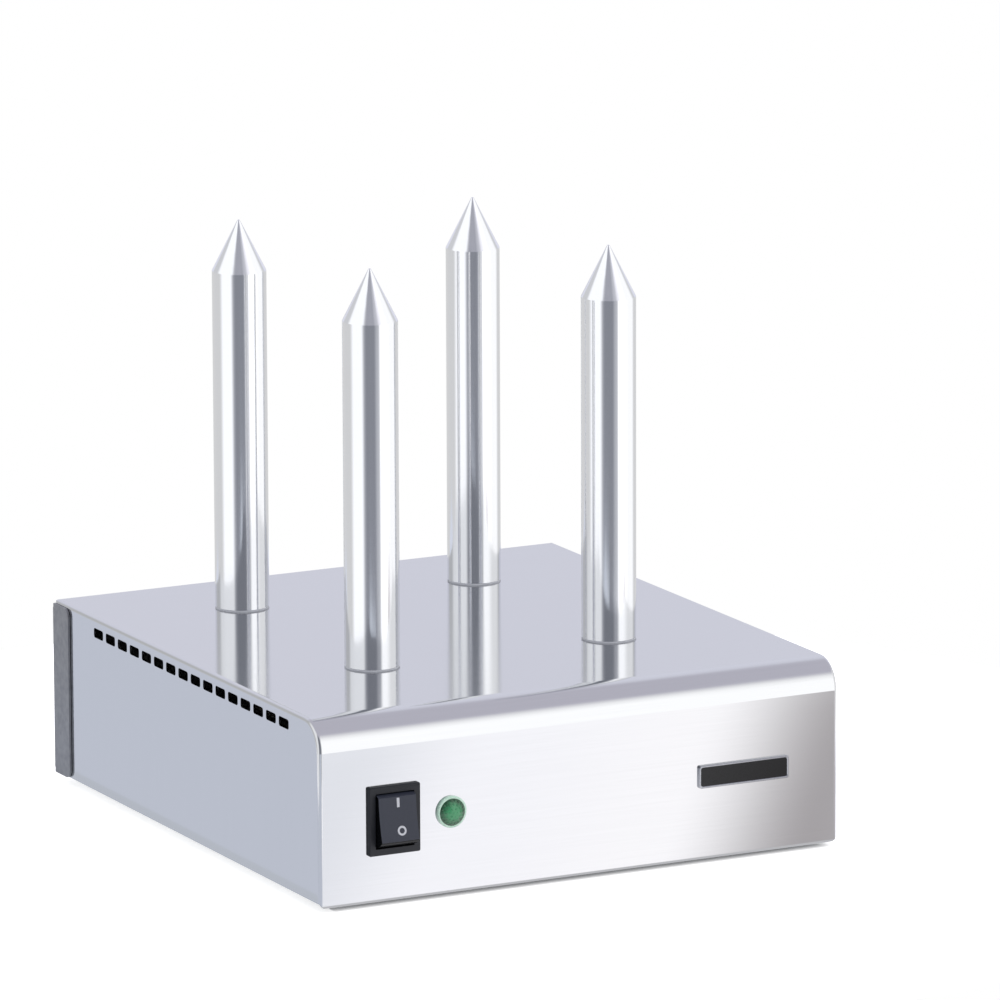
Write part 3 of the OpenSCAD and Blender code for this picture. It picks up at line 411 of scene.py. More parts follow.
@dataclass(frozen=True)
class TurnedBar(LinedMetal):
    """Bar turned on a lathe: its lines are rings round the upright axis."""

    def lines(self, tree: Tree) -> tuple[Link, Link]:
        """Draw the turning rings: their height, and the upright way in which they smear reflections."""
        rings = grain(tree, (self.line_length_mm, self.line_length_mm, self.line_pitch_mm))
        return rings, add_node(tree, "ShaderNodeCombineXYZ", {"Z": 1.0})[0]


@dataclass(frozen=True)
class LensPlastic(Finish):
    """Clear green polycarbonate, deep green towards its edge, with a painted glow that brightens it towards
    the lamp's axis.
    """

    painted_glow_colour: str
    deep_colour: str
    centre_mm: Triple
    painted_glow_mm: float = 2.6            # radius up to which the painted glow reaches
    deep_mm: float = 5.6            # radius from which the colour is deep
    speck_mm: float = 1.1
    speck_share: float = 0.25       # how far a speck shifts the colour
    roughness: float = 0.2
    ior: float = 1.58

    def shade(self, tree: Tree, shader: bpy.types.Node) -> None:
        """Wire the distance from the lamp's axis, broken by specks, to the colour, which carries the painted
        glow near the axis.

        Args:
            tree: Tree of the material.
            shader: The material's shader.
        """
        place = add_node(tree, "ShaderNodeTexCoord")
        from_centre = {0: place["Object"], 1: Vector(self.centre_mm) * MM}
        off = add_node(tree, "ShaderNodeVectorMath", from_centre, operation="SUBTRACT")[0]
        flat = add_node(tree, "ShaderNodeVectorMath", {0: off, 1: (1, 0, 1)}, operation="MULTIPLY")[0]
        far = add_node(tree, "ShaderNodeVectorMath", {0: flat}, operation="LENGTH")["Value"]
        span = {"Value": far, "From Min": self.painted_glow_mm * MM, "From Max": self.deep_mm * MM}
        share = add_node(tree, "ShaderNodeMapRange", span)[0]
        specks = around(tree, grain(tree, (self.speck_mm,) * 3), 0.0, self.speck_share)
        parts = {0: share, 1: specks}
        broken = add_node(tree, "ShaderNodeMath", parts, operation="ADD", use_clamp=True)[0]
        feed(tree, shader, {
            "Base Color": blended(tree, broken, self.painted_glow_colour, self.deep_colour),
            "Roughness": self.roughness,
            "IOR": self.ior,
        })


# Bright rolled 18/10 stainless: a nearly neutral grey mirror. The line is drawn wider than the real 0.05 mm.
CASE_SHEET = BrushedSheet(
    "bright_stainless_sheet", "#CBCCCE", "#C9CACC", roughness=0.1, roughness_spread=0.015, smear=0.6,
    line_length_mm=60, line_pitch_mm=0.5, line_depth_mm=0.0001)
# The rear panel is the same steel left dull from the mill: darker, and no picture in it.
REAR_SHEET = MottledFinish(
    "mill_dull_stainless", "#8E8F91", "#848589", roughness=0.46, roughness_spread=0.05, metallic=0.85,
    grain_mm=3.0, bump_mm=0.002)
# Galvanised inner sheet: faint spangle.
INNER_SHEET = MottledFinish(
    "galvanised_sheet", "#A9ACB0", "#999CA1", roughness=0.42, roughness_spread=0.08, metallic=1.0,
    grain_mm=6.0, bump_mm=0.004)
# 6082 aluminium bar, turned and buffed. The rings are drawn wider than the real 0.1 mm feed.
SPIKE_BAR = TurnedBar(
    "turned_polished_aluminium", "#E9EAED", "#E8E9EC", roughness=0.12, roughness_spread=0.01, smear=0.6,
    line_length_mm=30, line_pitch_mm=0.45, line_depth_mm=0.00005)
# Zinc plated steel fasteners: slightly blue, slightly cloudy.
ZINC_PLATE = MottledFinish(
    "zinc_plated_steel", "#B9BCC2", "#A4A8B0", roughness=0.3, roughness_spread=0.08, metallic=1.0,
    grain_mm=0.6, bump_mm=0.004)
# Drawn steel heater sheath, straw coloured by heat.
HEATER_SHEATH = MottledFinish(
    "heat_tinted_steel", "#9C9286", "#877C70", roughness=0.38, roughness_spread=0.08, metallic=1.0,
    grain_mm=2.5, bump_mm=0.004)
# Moulded black nylon with a fine spark-eroded grain: soft gloss, a slight blue cast.
BLACK_NYLON = MottledFinish(
    "moulded_black_nylon", "#080B13", "#0D111B", roughness=0.56, grain_mm=0.35, bump_mm=0.012, ior=1.46)
# The rocker is the same nylon from a finer mould: a lighter, bluer face between polished walls, whose near
# black is painted shade.
ROCKER_NYLON = RockerPlastic(
    "moulded_rocker_nylon", "#262A36", "#2C303D", wall_shade_colour="#08090B", roughness=0.5, side_roughness=0.16,
    side_shine=0.06, grain_mm=0.35, bump_mm=0.008, ior=1.46)
# Grey silicone seals, heat proof: matt and even.
SEAL_SILICONE = MottledFinish(
    "grey_silicone", "#D2D4D9", "#C7C9CE", roughness=0.6, grain_mm=0.3, ior=1.41)
# Moulded rubber feet: matt, dusty black.
FOOT_RUBBER = MottledFinish(
    "moulded_rubber", "#1E1E20", "#29292B", roughness=0.7, roughness_spread=0.08, grain_mm=0.6, bump_mm=0.02,
    ior=1.52)
# Machined brass.
BRASS = MottledFinish(
    "machined_brass", "#C9A45C", "#B8924C", roughness=0.28, metallic=1.0, grain_mm=0.5, bump_mm=0.003)
# Glazed steatite: warm white with a wet gloss.
STEATITE = MottledFinish(
    "glazed_steatite", "#E8E3D6", "#DED8C9", roughness=0.22, roughness_spread=0.05, grain_mm=1.5,
    bump_mm=0.006, ior=1.55)
# Woven glass sleeve of the inner wires: off white and matt.
WIRE_SLEEVE = MottledFinish(
    "woven_glass_sleeve", "#D6D2C6", "#C4BFB1", roughness=0.75, roughness_spread=0.08, grain_mm=0.5,
    bump_mm=0.02)
# Clear bulb glass over a pale neon electrode.
NEON_GLASS = MottledFinish(
    "neon_bulb_glass", "#E9E4DA", "#DCD6CA", roughness=0.1, roughness_spread=0.03, grain_mm=1.0,
    bump_mm=0.002, ior=1.52)
# White marking ink pressed into the rocker.
MARK_INK = MottledFinish(
    "marking_ink", "#C9CBD0", "#B7B9BF", roughness=0.5, roughness_spread=0.05, grain_mm=0.3, bump_mm=0.004)
# Lacquered name plate: near black with a deep gloss.
PLATE_LACQUER = MottledFinish(
    "black_lacquer", "#0D0F13", "#090A0D", roughness=0.24, roughness_spread=0.04, grain_mm=1.2,
    bump_mm=0.002, ior=1.38)
# Satin diecast rim of the name plate.
PLATE_RIM = MottledFinish(
    "satin_diecast_zinc", "#A6A8AD", "#97999F", roughness=0.3, roughness_spread=0.05, metallic=1.0,
    bump_mm=0.002)
# Thin clear flange of the lens, which the steel behind makes pale.
LENS_RIM = MottledFinish(
    "pale_green_polycarbonate", "#CFE9D8", "#B4DCC3", roughness=0.16, roughness_spread=0.04, grain_mm=1.2,
    bump_mm=0.004, ior=1.58)


def outline(width_mm: float, height_mm: float, radius_mm: float) -> list[tuple[float, float]]:
    """Walk round a rectangle with rounded corners.

    Args:
        width_mm: Full width.
        height_mm: Full height.
        radius_mm: Radius of the corners.

    Returns:
        Points (across, up) from the middle, anticlockwise.
    """
    points = []
    for corner, (side, end) in enumerate(((1, 1), (-1, 1), (-1, -1), (1, -1))):
        middle = Vector((side * (width_mm / 2 - radius_mm), end * (height_mm / 2 - radius_mm)))
        for step in range(CORNER_STEPS + 1):
            turn = math.radians(90) * (corner + step / CORNER_STEPS)
            points.append((middle.x + radius_mm * math.cos(turn), middle.y + radius_mm * math.sin(turn)))
    return points


def ring(radius_mm: float) -> list[tuple[float, float]]:
    """Walk round a circle, anticlockwise, as points (across, up) from its middle."""
    turns = [2 * math.pi * step / ROUND_STEPS for step in range(ROUND_STEPS)]
    return [(radius_mm * math.cos(turn), radius_mm * math.sin(turn)) for turn in turns]


def loft(name: str, loops: Sequence[Sequence[Vector]], capped: bool) -> bpy.types.Mesh:
    """Skin a shape over closed loops of corners.

    Args:
        name: Name of the mesh.
        loops: Loops with the same number of corners each, in metres.
        capped: True closes the first and last loop with a face. False joins the last loop to the first.

    Returns:
        A closed mesh whose faces point outwards.
    """
    shape = bmesh.new()
    rows = [[shape.verts.new(corner) for corner in loop] for loop in loops]
    pairs = list(zip(rows, rows[1:]))
    if not capped:
        pairs.append((rows[-1], rows[0]))
    for low, high in pairs:
        for i in range(len(low)):
            j = (i + 1) % len(low)
            shape.faces.new((low[i], low[j], high[j], high[i]))
    if capped:
        shape.faces.new(rows[0])
        shape.faces.new(rows[-1])
    return finished(shape, name)


def turned(name: str, profile: Sequence[tuple[float, float]]) -> bpy.types.Mesh:
    """Turn a profile round the upright axis.

    Args:
        name: Name of the mesh.
        profile: Points (radius, height) in millimetres, from one end on the axis to the other.

    Returns:
        A closed mesh whose faces point outwards.
    """
    shape = bmesh.new()
    rows = []
    for radius, height in profile:
        circle = ring(radius) if radius else [(0.0, 0.0)]
        rows.append([shape.verts.new(Vector((x, y, height)) * MM) for x, y in circle])
    for low, high in zip(rows, rows[1:]):
        for i in range(ROUND_STEPS):
            j = (i + 1) % ROUND_STEPS
            corners = [row[k % len(row)] for row, k in ((low, i), (low, j), (high, j), (high, i))]
            shape.faces.new(list(dict.fromkeys(corners)))
    return finished(shape, name)


def finished(shape: bmesh.types.BMesh, name: str) -> bpy.types.Mesh:
    """Close a shape in work.

    Args:
        shape: The shape, which is used up.
        name: Name of the mesh.

    Returns:
        The mesh, outward, smooth but for its sharp edges.
    """
    bmesh.ops.recalc_face_normals(shape, faces=shape.faces)
    for face in shape.faces:
        face.smooth = True
    mesh = bpy.data.meshes.new(name)
    shape.to_mesh(mesh)
    shape.free()
    mesh.set_sharp_from_angle(angle=SHARP_ANGLE)
    return mesh


def shown(name: str, mesh: bpy.types.Mesh) -> bpy.types.Object:
    """Put a mesh in the scene.

    Args:
        name: Name of the piece.
        mesh: Its mesh.

    Returns:
        The piece.
    """
    piece = bpy.data.objects.new(name, mesh)
    bpy.context.scene.collection.objects.link(piece)
    return piece


def settle(piece: bpy.types.Object) -> None:
    """Turn a piece's modifiers into its plain mesh.

    Args:
        piece: The piece, which keeps no modifier.
    """
    graph = bpy.context.evaluated_depsgraph_get()
    mesh = bpy.data.meshes.new_from_object(
        piece.evaluated_get(graph), preserve_all_data_layers=True, depsgraph=graph)
    piece.modifiers.clear()
    piece.data = mesh


def softened(name: str, node: str, width_mm: float) -> bpy.types.Object:
    """Copy a node's solid with its sharp edges rounded.

    Args:
        name: Name of the new piece.
        node: Name of the node in the frame.
        width_mm: Width of the rounding.

    Returns:
        The rounded copy, with flat faces that still shade flat.
    """
    shape = bmesh.new()
    shape.from_mesh(frame["nodes"][node].data)
    bmesh.ops.remove_doubles(shape, verts=shape.verts, dist=MERGE_GAP)
    bmesh.ops.dissolve_limit(shape, angle_limit=FLAT_ANGLE, verts=shape.verts, edges=shape.edges)
    mesh = bpy.data.meshes.new(name)
    for face in shape.faces:
        face.smooth = True
    shape.to_mesh(mesh)
    shape.free()
    piece = shown(name, mesh)
    edges = piece.modifiers.new("edges", "BEVEL")
    edges.width = width_mm * MM
    edges.segments = BEVEL_STEPS
    edges.limit_method = "ANGLE"
    edges.angle_limit = SHARP_ANGLE
    piece.modifiers.new("shading", "WEIGHTED_NORMAL").keep_sharp = True
    settle(piece)
    return piece


def loose_boxes(node: str) -> list[tuple[Vector, Vector]]:
    """Find the separate solids of a node.

    Args:
        node: Name of the node in the frame.

    Returns:
        Lowest and highest corner of each solid, in metres.
    """
    shape = bmesh.new()
    shape.from_mesh(frame["nodes"][node].data)
    bmesh.ops.remove_doubles(shape, verts=shape.verts, dist=MERGE_GAP)
    left = set(shape.verts)
    boxes = []
    while left:
        found = [left.pop()]
        for corner in found:
            near = {edge.other_vert(corner) for edge in corner.link_edges} & left
            left -= near
            found.extend(near)
        spots = [corner.co.copy() for corner in found]
        boxes.append((Vector(map(min, zip(*spots))), Vector(map(max, zip(*spots)))))
    shape.free()
    return sorted(boxes, key=lambda box: tuple(box[0]))


@dataclass
class SubAssembly:
    """A group of pieces: the finish of each node that it shows or holds, and the pieces that it adds."""

    finishes: ClassVar[dict[str, Finish]] = {}

    def build(self) -> None:
        """Make the pieces that the group adds. Some groups add none."""

    def dress(self) -> None:
        """Put the finishes on the nodes."""
        for node, finish in self.finishes.items():
            frame["nodes"][node].material_slots[0].material = finish.material()

    def place(self, piece: bpy.types.Object, finish: Finish, body: Body, slot: Slot, *nodes: str) -> None:
        """Dress a new piece and attach it to the empty of its body.

        Args:
            piece: The piece, in place.
            finish: Its finish.
            body: Body that it moves with.
            slot: Record slot of its finish. Not used.
            nodes: Nodes that it stands for, if any.
        """
        piece.data.materials.clear()
        piece.data.materials.append(finish.material())
        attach(piece, body.value)
        if nodes:
            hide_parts(*nodes)
        LOG.info("%s: %d faces, %s", piece.name, len(piece.data.polygons), finish.name)


@dataclass
class Rows:
    """Copies of one small shape on a list of seats, made by Geometry Nodes."""

    seed: int = 7

    def tree(self) -> bpy.types.GeometryNodeTree:
        """Build the node tree once.

        Returns:
            A tree that sets the shape on each seat, turns it, and gives it a roll of its own.
        """
        known = bpy.data.node_groups.get("rows_of_shapes")
        if known:
            return known
        tree = bpy.data.node_groups.new("rows_of_shapes", "GeometryNodeTree")
        sockets = {"Seats": "Geometry", "Shape": "Object", "Turn": "Vector", "Most roll": "Float",
                   "Seed": "Int", "Finish": "Material"}
        for name, kind in sockets.items():
            tree.interface.new_socket(name, in_out="INPUT", socket_type=f"NodeSocket{kind}")
        tree.interface.new_socket("Pieces", in_out="OUTPUT", socket_type="NodeSocketGeometry")
        given = add_node(tree, "NodeGroupInput")
        shape = add_node(tree, "GeometryNodeObjectInfo", {"Object": given["Shape"]})
        copies = add_node(tree, "GeometryNodeInstanceOnPoints", {
            "Points": given["Seats"], "Instance": shape["Geometry"], "Rotation": given["Turn"]})
        limits = {MOST_NUMBER: given["Most roll"], "Seed": given["Seed"]}
        roll = add_node(tree, "FunctionNodeRandomValue", limits, data_type="FLOAT")[RANDOM_NUMBER]
        spin = add_node(tree, "ShaderNodeCombineXYZ", {"Z": roll})
        rolled = add_node(tree, "GeometryNodeRotateInstances", {
            "Instances": copies[0], "Rotation": spin[0]})
        real = add_node(tree, "GeometryNodeRealizeInstances", {0: rolled[0]})
        dressed = add_node(tree, "GeometryNodeSetMaterial", {
            "Geometry": real[0], "Material": given["Finish"]})
        add_node(tree, "NodeGroupOutput", {0: dressed[0]})
        return tree

    def make(self, name: str, seats: Sequence[Vector], shape: bpy.types.Mesh, facing: Facing, roll: float,
             finish: Finish) -> bpy.types.Object:
        """Set copies of a shape on seats.

        Args:
            name: Name of the piece.
            seats: Where the shape's own origin goes, in metres.
            shape: Mesh of one copy, built upwards.
            facing: Way that the copies point.
            roll: Most turn of a copy about its own axis, in radians.
            finish: Finish of the copies.

        Returns:
            One plain mesh piece with all the copies.
        """
        points = bpy.data.meshes.new(name)
        points.from_pydata(seats, [], [])
        piece = shown(name, points)
        pattern = shown(f"{name}_pattern", shape)
        tree = self.tree()
        copier = piece.modifiers.new("rows", "NODES")
        copier.node_group = tree
        values = {"Shape": pattern, "Turn": (facing.value, 0.0, 0.0), "Most roll": roll, "Seed": self.seed,
                  "Finish": finish.material()}
        for socket in tree.interface.items_tree:
            if socket.name in values:
                copier[socket.identifier] = values[socket.name]
        settle(piece)
        bpy.data.objects.remove(pattern)
        return piece


@dataclass
class CaseSheets(SubAssembly):
    """The folded case, its rear panel, the base and the inner plate."""

    finishes = {
        "body_shell": CASE_SHEET, "rear_panel": REAR_SHEET, "base_plate": INNER_SHEET,
        "carrier_plate": INNER_SHEET}
    rear_edge_mm: float = 0.3

    def build(self) -> None:
        """Round the rear panel's cut edges."""
        panel = softened("rear_cover", "rear_panel", self.rear_edge_mm)
        self.place(panel, REAR_SHEET, Body.CASE, Slot.DULL_STAINLESS, "rear_panel")


@dataclass
class NamePlate(SubAssembly):
    """The plain plate on the front: a dark lacquered face in a bright rim, with nothing on it."""

    width_mm: float = 45.6
    height_mm: float = 10.4
    radius_mm: float = 1.0
    thick_mm: float = 1.4
    rim_mm: float = 0.9
    edge_mm: float = 0.25
    sunk_mm: float = 0.35
    from_right_mm: float = 48.4
    up_mm: float = 38.4

    def loop(self, inset_mm: float, proud_mm: float) -> list[Vector]:
        """Walk round the plate.

        Args:
            inset_mm: Distance inside the plate's edge.
            proud_mm: Height above the front of the case.

        Returns:
            Corners in metres.
        """
        low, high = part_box("body_shell")
        middle = Vector((high.x - self.from_right_mm * MM, low.y, low.z + self.up_mm * MM))
        walk = outline(self.width_mm - 2 * inset_mm, self.height_mm - 2 * inset_mm, self.radius_mm)
        return [middle + Vector((x, -proud_mm, z)) * MM for x, z in walk]

    def build(self) -> None:
        """Make the rim and the face."""
        top, rim, edge = self.thick_mm, self.rim_mm, self.edge_mm
        steps = ((0, 0), (0, top - edge), (edge, top), (rim - edge, top), (rim, top - edge), (rim, 0))
        rim_mesh = loft("name_plate_rim", [self.loop(*step) for step in steps], capped=False)
        self.place(shown("name_plate_rim", rim_mesh), PLATE_RIM, Body.CASE, Slot.ZINC_STEEL)
        ends = [self.loop(rim, 0), self.loop(rim, top - self.sunk_mm)]
        face_mesh = loft("name_plate_face", ends, capped=True)
        self.place(shown("name_plate_face", face_mesh), PLATE_LACQUER, Body.CASE, Slot.BLACK_PLASTIC)


@dataclass
class RockerSwitch(SubAssembly):
    """The switch: rounded frame and rocker, with the I and O marks on the rocker."""

    finishes = {
        "switch_housing": BLACK_NYLON, "switch_rocker": ROCKER_NYLON, "switch_plungers": BRASS,
        "switch_springs": ZINC_PLATE, "contact_arms": BRASS, "switch_terminals": BRASS}
    edge_mm: float = 0.25
    face_mm: float = 7.1           # from the trunnion to the ends of the rocker's face
    half_mm: float = 9.9           # half the height of that face
    dish_r_mm: float = 80.0        # radius of its hollow
    mark_sunk_mm: float = 0.05
    mark_proud_mm: float = 0.06
    bar_mm: Triple = (1.3, 4.2, 0.2)                # width, height and corner radius
    bar_taper: float = 0.8                          # size of its top against its foot
    bar_at_mm: tuple[float, float] = (0.3, 7.3)
    ring_mm: tuple[float, float] = (2.15, 1.25)     # outer and inner radius
    ring_at_mm: tuple[float, float] = (1.2, -5.3)

    def on_face(self, across_mm: float, up_mm: float, proud_mm: float) -> Vector:
        """Find a point on the rocker's hollow face as it rests.

        Args:
            across_mm: Distance from the rocker's middle.
            up_mm: Distance along the face above its middle.
            proud_mm: Height above the face.

        Returns:
            The point in metres.
        """
        joint = next(j for j in frame["joints"] if j["name"] == "rocker_tip")
        tilt = -math.radians(joint["range_deg"][1]) / 2
        sag = math.sqrt(self.dish_r_mm ** 2 - up_mm ** 2) - math.sqrt(self.dish_r_mm ** 2 - self.half_mm ** 2)
        spot = Vector((across_mm, sag - self.face_mm - proud_mm, up_mm)) * MM
        return Vector(joint["pos_m"]) + Matrix.Rotation(tilt, 3, "X") @ spot

    def loop(self, walk: Sequence[tuple[float, float]], at_mm: tuple[float, float], scale: float,
             proud_mm: float) -> list[Vector]:
        """Lay an outline on the rocker's face.

        Args:
            walk: Outline points (across, up) from its middle.
            at_mm: Middle of the outline on the face.
            scale: Size of the outline against its points.
            proud_mm: Height above the face.

        Returns:
            Corners in metres.
        """
        return [self.on_face(at_mm[0] + x * scale, at_mm[1] + z * scale, proud_mm) for x, z in walk]

    def build(self) -> None:
        """Make the rounded frame and rocker, then the marks."""
        housing = softened("switch_frame", "switch_housing", self.edge_mm)
        self.place(housing, BLACK_NYLON, Body.CASE, Slot.BLACK_PLASTIC, "switch_housing")
        rocker = softened("rocker_button", "switch_rocker", self.edge_mm)
        self.place(rocker, ROCKER_NYLON, Body.ROCKER, Slot.BLACK_PLASTIC, "switch_rocker")
        sunk, proud = -self.mark_sunk_mm, self.mark_proud_mm
        bar = outline(*self.bar_mm)
        steps = ((1.0, sunk), (1.0, proud / 2), (self.bar_taper, proud))
        on_mark = loft("mark_on", [self.loop(bar, self.bar_at_mm, *step) for step in steps], capped=True)
        self.place(shown("mark_on", on_mark), MARK_INK, Body.ROCKER, Slot.BLACK_PLASTIC)
        outer, inner = (ring(radius) for radius in self.ring_mm)
        steps = ((outer, sunk), (outer, proud), (inner, proud), (inner, sunk))
        loops = [self.loop(walk, self.ring_at_mm, 1.0, height) for walk, height in steps]
        off_mark = loft("mark_off", loops, capped=False)
        self.place(shown("mark_off", off_mark), MARK_INK, Body.ROCKER, Slot.BLACK_PLASTIC)


@dataclass
class PilotLamp(SubAssembly):
    """The pilot lamp: a pale thin flange round a deep green dome with moulded facets."""

    finishes = {
        "lamp_lens": LENS_RIM, "lamp_body": BLACK_NYLON, "lamp_bulb": NEON_GLASS, "lamp_clip": ZINC_PLATE,
        "lamp_tabs": BRASS}
    flange_r_mm: float = 7.2
    flange_t_mm: float = 1.5
    edge_mm: float = 0.4
    dome_r_mm: float = 6.2
    dome_h_mm: float = 1.9
    dome_steps: int = 8
    facet_sides: int = 6
    facet_r_mm: float = 0.85
    facet_h_mm: float = 0.5
    facet_tip: float = 1 / 6       # size of a facet's top against its foot
    facet_roll: float = 1.0        # most turn of a facet, in radians
    facet_rings: tuple[tuple[int, float], ...] = ((1, 0.0), (6, 1.8), (12, 3.5), (18, 5.1))

    def face(self) -> Vector:
        """Find the middle of the lamp where it meets the case, in metres."""
        low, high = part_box("lamp_lens")
        return Vector(((low.x + high.x) / 2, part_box("body_shell")[0].y, (low.z + high.z) / 2))

    def dome_height(self, radius_mm: float) -> float:
        """Give the dome's height above the flange at a distance from its middle, in millimetres."""
        return self.dome_h_mm * (1 - (radius_mm / self.dome_r_mm) ** 2)

    def facet_seats(self) -> list[Vector]:
        """Spread the facets over the dome.

        Returns:
            The foot of each facet, built upwards from the case, in metres.
        """
        seats = []
        for count, radius in self.facet_rings:
            up = self.flange_t_mm + self.dome_height(radius) - self.facet_h_mm / 2
            for step in range(count):
                turn = 2 * math.pi * step / count
                seats.append(Vector((radius * math.cos(turn), radius * math.sin(turn), up)) * MM)
        return seats

    def facet(self) -> bpy.types.Mesh:
        """Make one facet, a low pyramid without its tip.

        Returns:
            The facet's mesh, with its foot at the origin.
        """
        turns = [2 * math.pi * side / self.facet_sides for side in range(self.facet_sides)]
        foot = [Vector((math.cos(turn), math.sin(turn), 0)) * self.facet_r_mm * MM for turn in turns]
        top = [corner * self.facet_tip + Vector((0, 0, self.facet_h_mm * MM)) for corner in foot]
        return loft("lens_facet", [foot, top], capped=True)

    def build(self) -> None:
        """Make the flange, the dome and its facets."""
        face = self.face()
        outwards = Matrix.Translation(face) @ Matrix.Rotation(Facing.FRONT.value, 4, "X")
        stem = (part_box("lamp_lens")[1].y - face.y) / MM
        rim, barrel, top, edge = self.flange_r_mm, self.dome_r_mm, self.flange_t_mm, self.edge_mm
        steps = [(0, -stem), (barrel, -stem), (barrel, 0), (rim, 0)]
        steps += [(rim, top - edge), (rim - edge, top), (0, top)]
        flange_mesh = turned("lamp_flange", steps)
        flange_mesh.transform(outwards)
        self.place(shown("lamp_flange", flange_mesh), LENS_RIM, Body.CASE, Slot.GREEN_LENS, "lamp_lens")
        radii = [barrel * (1 - step / self.dome_steps) for step in range(self.dome_steps + 1)]
        crown = [(radius, top + self.dome_height(radius)) for radius in radii]
        dome_mesh = turned("lamp_dome", [(0, top - edge), (barrel, top - edge), *crown])
        dome_mesh.transform(outwards)
        # the dome's bright core is a painted glow, the deep green its own colour
        green = LensPlastic("deep_green_polycarbonate", "#34905C", "#144A2B", tuple(c / MM for c in face))
        self.place(shown("lamp_dome", dome_mesh), green, Body.CASE, Slot.GREEN_LENS)
        seats = [outwards @ seat for seat in self.facet_seats()]
        facets = Rows().make("lamp_facets", seats, self.facet(), Facing.FRONT, self.facet_roll, green)
        self.place(facets, green, Body.CASE, Slot.GREEN_LENS)


@dataclass
class Spikes(SubAssembly):
    """The four heated spikes with their seals, nuts and heaters."""

    finishes = {
        "spike_gaskets": SEAL_SILICONE, "spike_washers": ZINC_PLATE, "spike_nuts": ZINC_PLATE,
        "heater_set_screws": ZINC_PLATE,
        **{f"spike_{corner}": SPIKE_BAR for corner in CORNERS},
        **{f"heater_{corner}": HEATER_SHEATH for corner in CORNERS}}


@dataclass
class Fasteners(SubAssembly):
    """The pan head screws that show outside, each with a cross recess."""

    finishes = {
        "rear_screws": ZINC_PLATE, "base_screws": ZINC_PLATE, "foot_screws": ZINC_PLATE}
    head_r_mm: dict[str, float] = field(
        default_factory=lambda: {"rear_screws": 3.5, "base_screws": 3.5, "foot_screws": 4.0})
    head_h_mm: float = 2.2
    crown: tuple[tuple[float, float], ...] = (      # shares of the head's radius and height
        (1.0, 0.35), (0.94, 0.62), (0.76, 0.85), (0.5, 0.97), (0.0, 1.0))
    shank_r_mm: float = 1.5
    point_mm: float = 0.4          # length of the shank's tapered end
    point_taper: float = 0.8
    recess_mm: Triple = (3.6, 0.8, 1.3)
    recess_r_mm: float = 0.1
    recess_taper: float = 0.55
    recess_above_mm: float = 0.3   # how far the cutting blade stands out of the head

    def screw(self, name: str, head_r_mm: float, length_mm: float) -> bpy.types.Mesh:
        """Make one screw, head up, with its seat at the origin.

        Args:
            name: Name of the mesh.
            head_r_mm: Radius of the head.
            length_mm: Length of the shank.

        Returns:
            The screw's mesh with its cross recess cut.
        """
        top, shank = self.head_h_mm, self.shank_r_mm
        below = [(0, -length_mm), (shank * self.point_taper, -length_mm), (shank, self.point_mm - length_mm),
                 (shank, 0), (head_r_mm, 0)]
        head = [(head_r_mm * across, top * up) for across, up in self.crown]
        screw = shown(f"{name}_blank", turned(name, below + head))
        long, wide, deep = self.recess_mm
        steps = ((self.recess_taper, top - deep), (1.0, top + self.recess_above_mm))
        for turn in (0, 90):
            loops = [[Vector((x, y, up)) * MM for x, y in outline(long * size, wide * size, self.recess_r_mm)]
                     for size, up in steps]
            blade_mesh = loft("recess_blade", loops, capped=True)
            blade_mesh.transform(Matrix.Rotation(math.radians(turn), 4, "Z"))
            blade = shown(f"{name}_blade", blade_mesh)
            cut = screw.modifiers.new("recess", "BOOLEAN")
            cut.object = blade
            cut.solver = "EXACT"
            settle(screw)
            bpy.data.objects.remove(blade)
        mesh = screw.data
        bpy.data.objects.remove(screw)
        mesh.set_sharp_from_angle(angle=SHARP_ANGLE)
        return mesh

    def build(self) -> None:
        """Set the screws where the nodes have theirs."""
        for node, head_r in self.head_r_mm.items():
            rearwards = node == "rear_screws"
            facing, along = (Facing.REAR, 1) if rearwards else (Facing.DOWN, 2)
            head = self.head_h_mm * MM
            boxes = loose_boxes(node)
            seats = [(low + high) / 2 for low, high in boxes]
            for seat, (low, high) in zip(seats, boxes):
                seat[along] = high[along] - head if rearwards else low[along] + head
            low, high = boxes[0]
            shape = self.screw(node, head_r, (high[along] - low[along]) / MM - self.head_h_mm)
            piece = Rows().make(f"{node}_crossed", seats, shape, facing, math.radians(90), ZINC_PLATE)
            self.place(piece, ZINC_PLATE, Body.CASE, Slot.ZINC_STEEL, node)


@dataclass
class CableGland(SubAssembly):
    """The empty cable gland in the rear panel."""

    finishes = {
        "gland_body": BLACK_NYLON, "gland_seal": FOOT_RUBBER, "gland_cap": BLACK_NYLON,
        "gland_locknut": BLACK_NYLON}
    edge_mm: float = 0.35

    def build(self) -> None:
        """Round the edges of the body and the cap."""
        for node, name in (("gland_body", "gland_hexagon"), ("gland_cap", "gland_dome_nut")):
            piece = softened(name, node, self.edge_mm)
            self.place(piece, BLACK_NYLON, Body.CASE, Slot.BLACK_PLASTIC, node)


@dataclass
class Feet(SubAssembly):
    """The four rubber feet."""

    finishes = {f"foot_{corner}": FOOT_RUBBER for corner in CORNERS}


@dataclass
class InnerFittings(SubAssembly):
    """The thermostat, the terminal block, the earth stud and the wires inside the case."""

    finishes = {
        "thermostat": STEATITE, "thermostat_tabs": BRASS, "thermostat_screws": ZINC_PLATE,
        "terminal_block": STEATITE, "terminal_inserts": BRASS, "terminal_screws": ZINC_PLATE,
        "block_screws": ZINC_PLATE, "block_links": BRASS,
        "earth_stud": BRASS, "earth_washer": ZINC_PLATE, "earth_nut": BRASS,
        "supply_wires": WIRE_SLEEVE, "switched_wires": WIRE_SLEEVE, "thermostat_wire": WIRE_SLEEVE,
        "heater_leads": WIRE_SLEEVE, "lamp_leads": WIRE_SLEEVE}


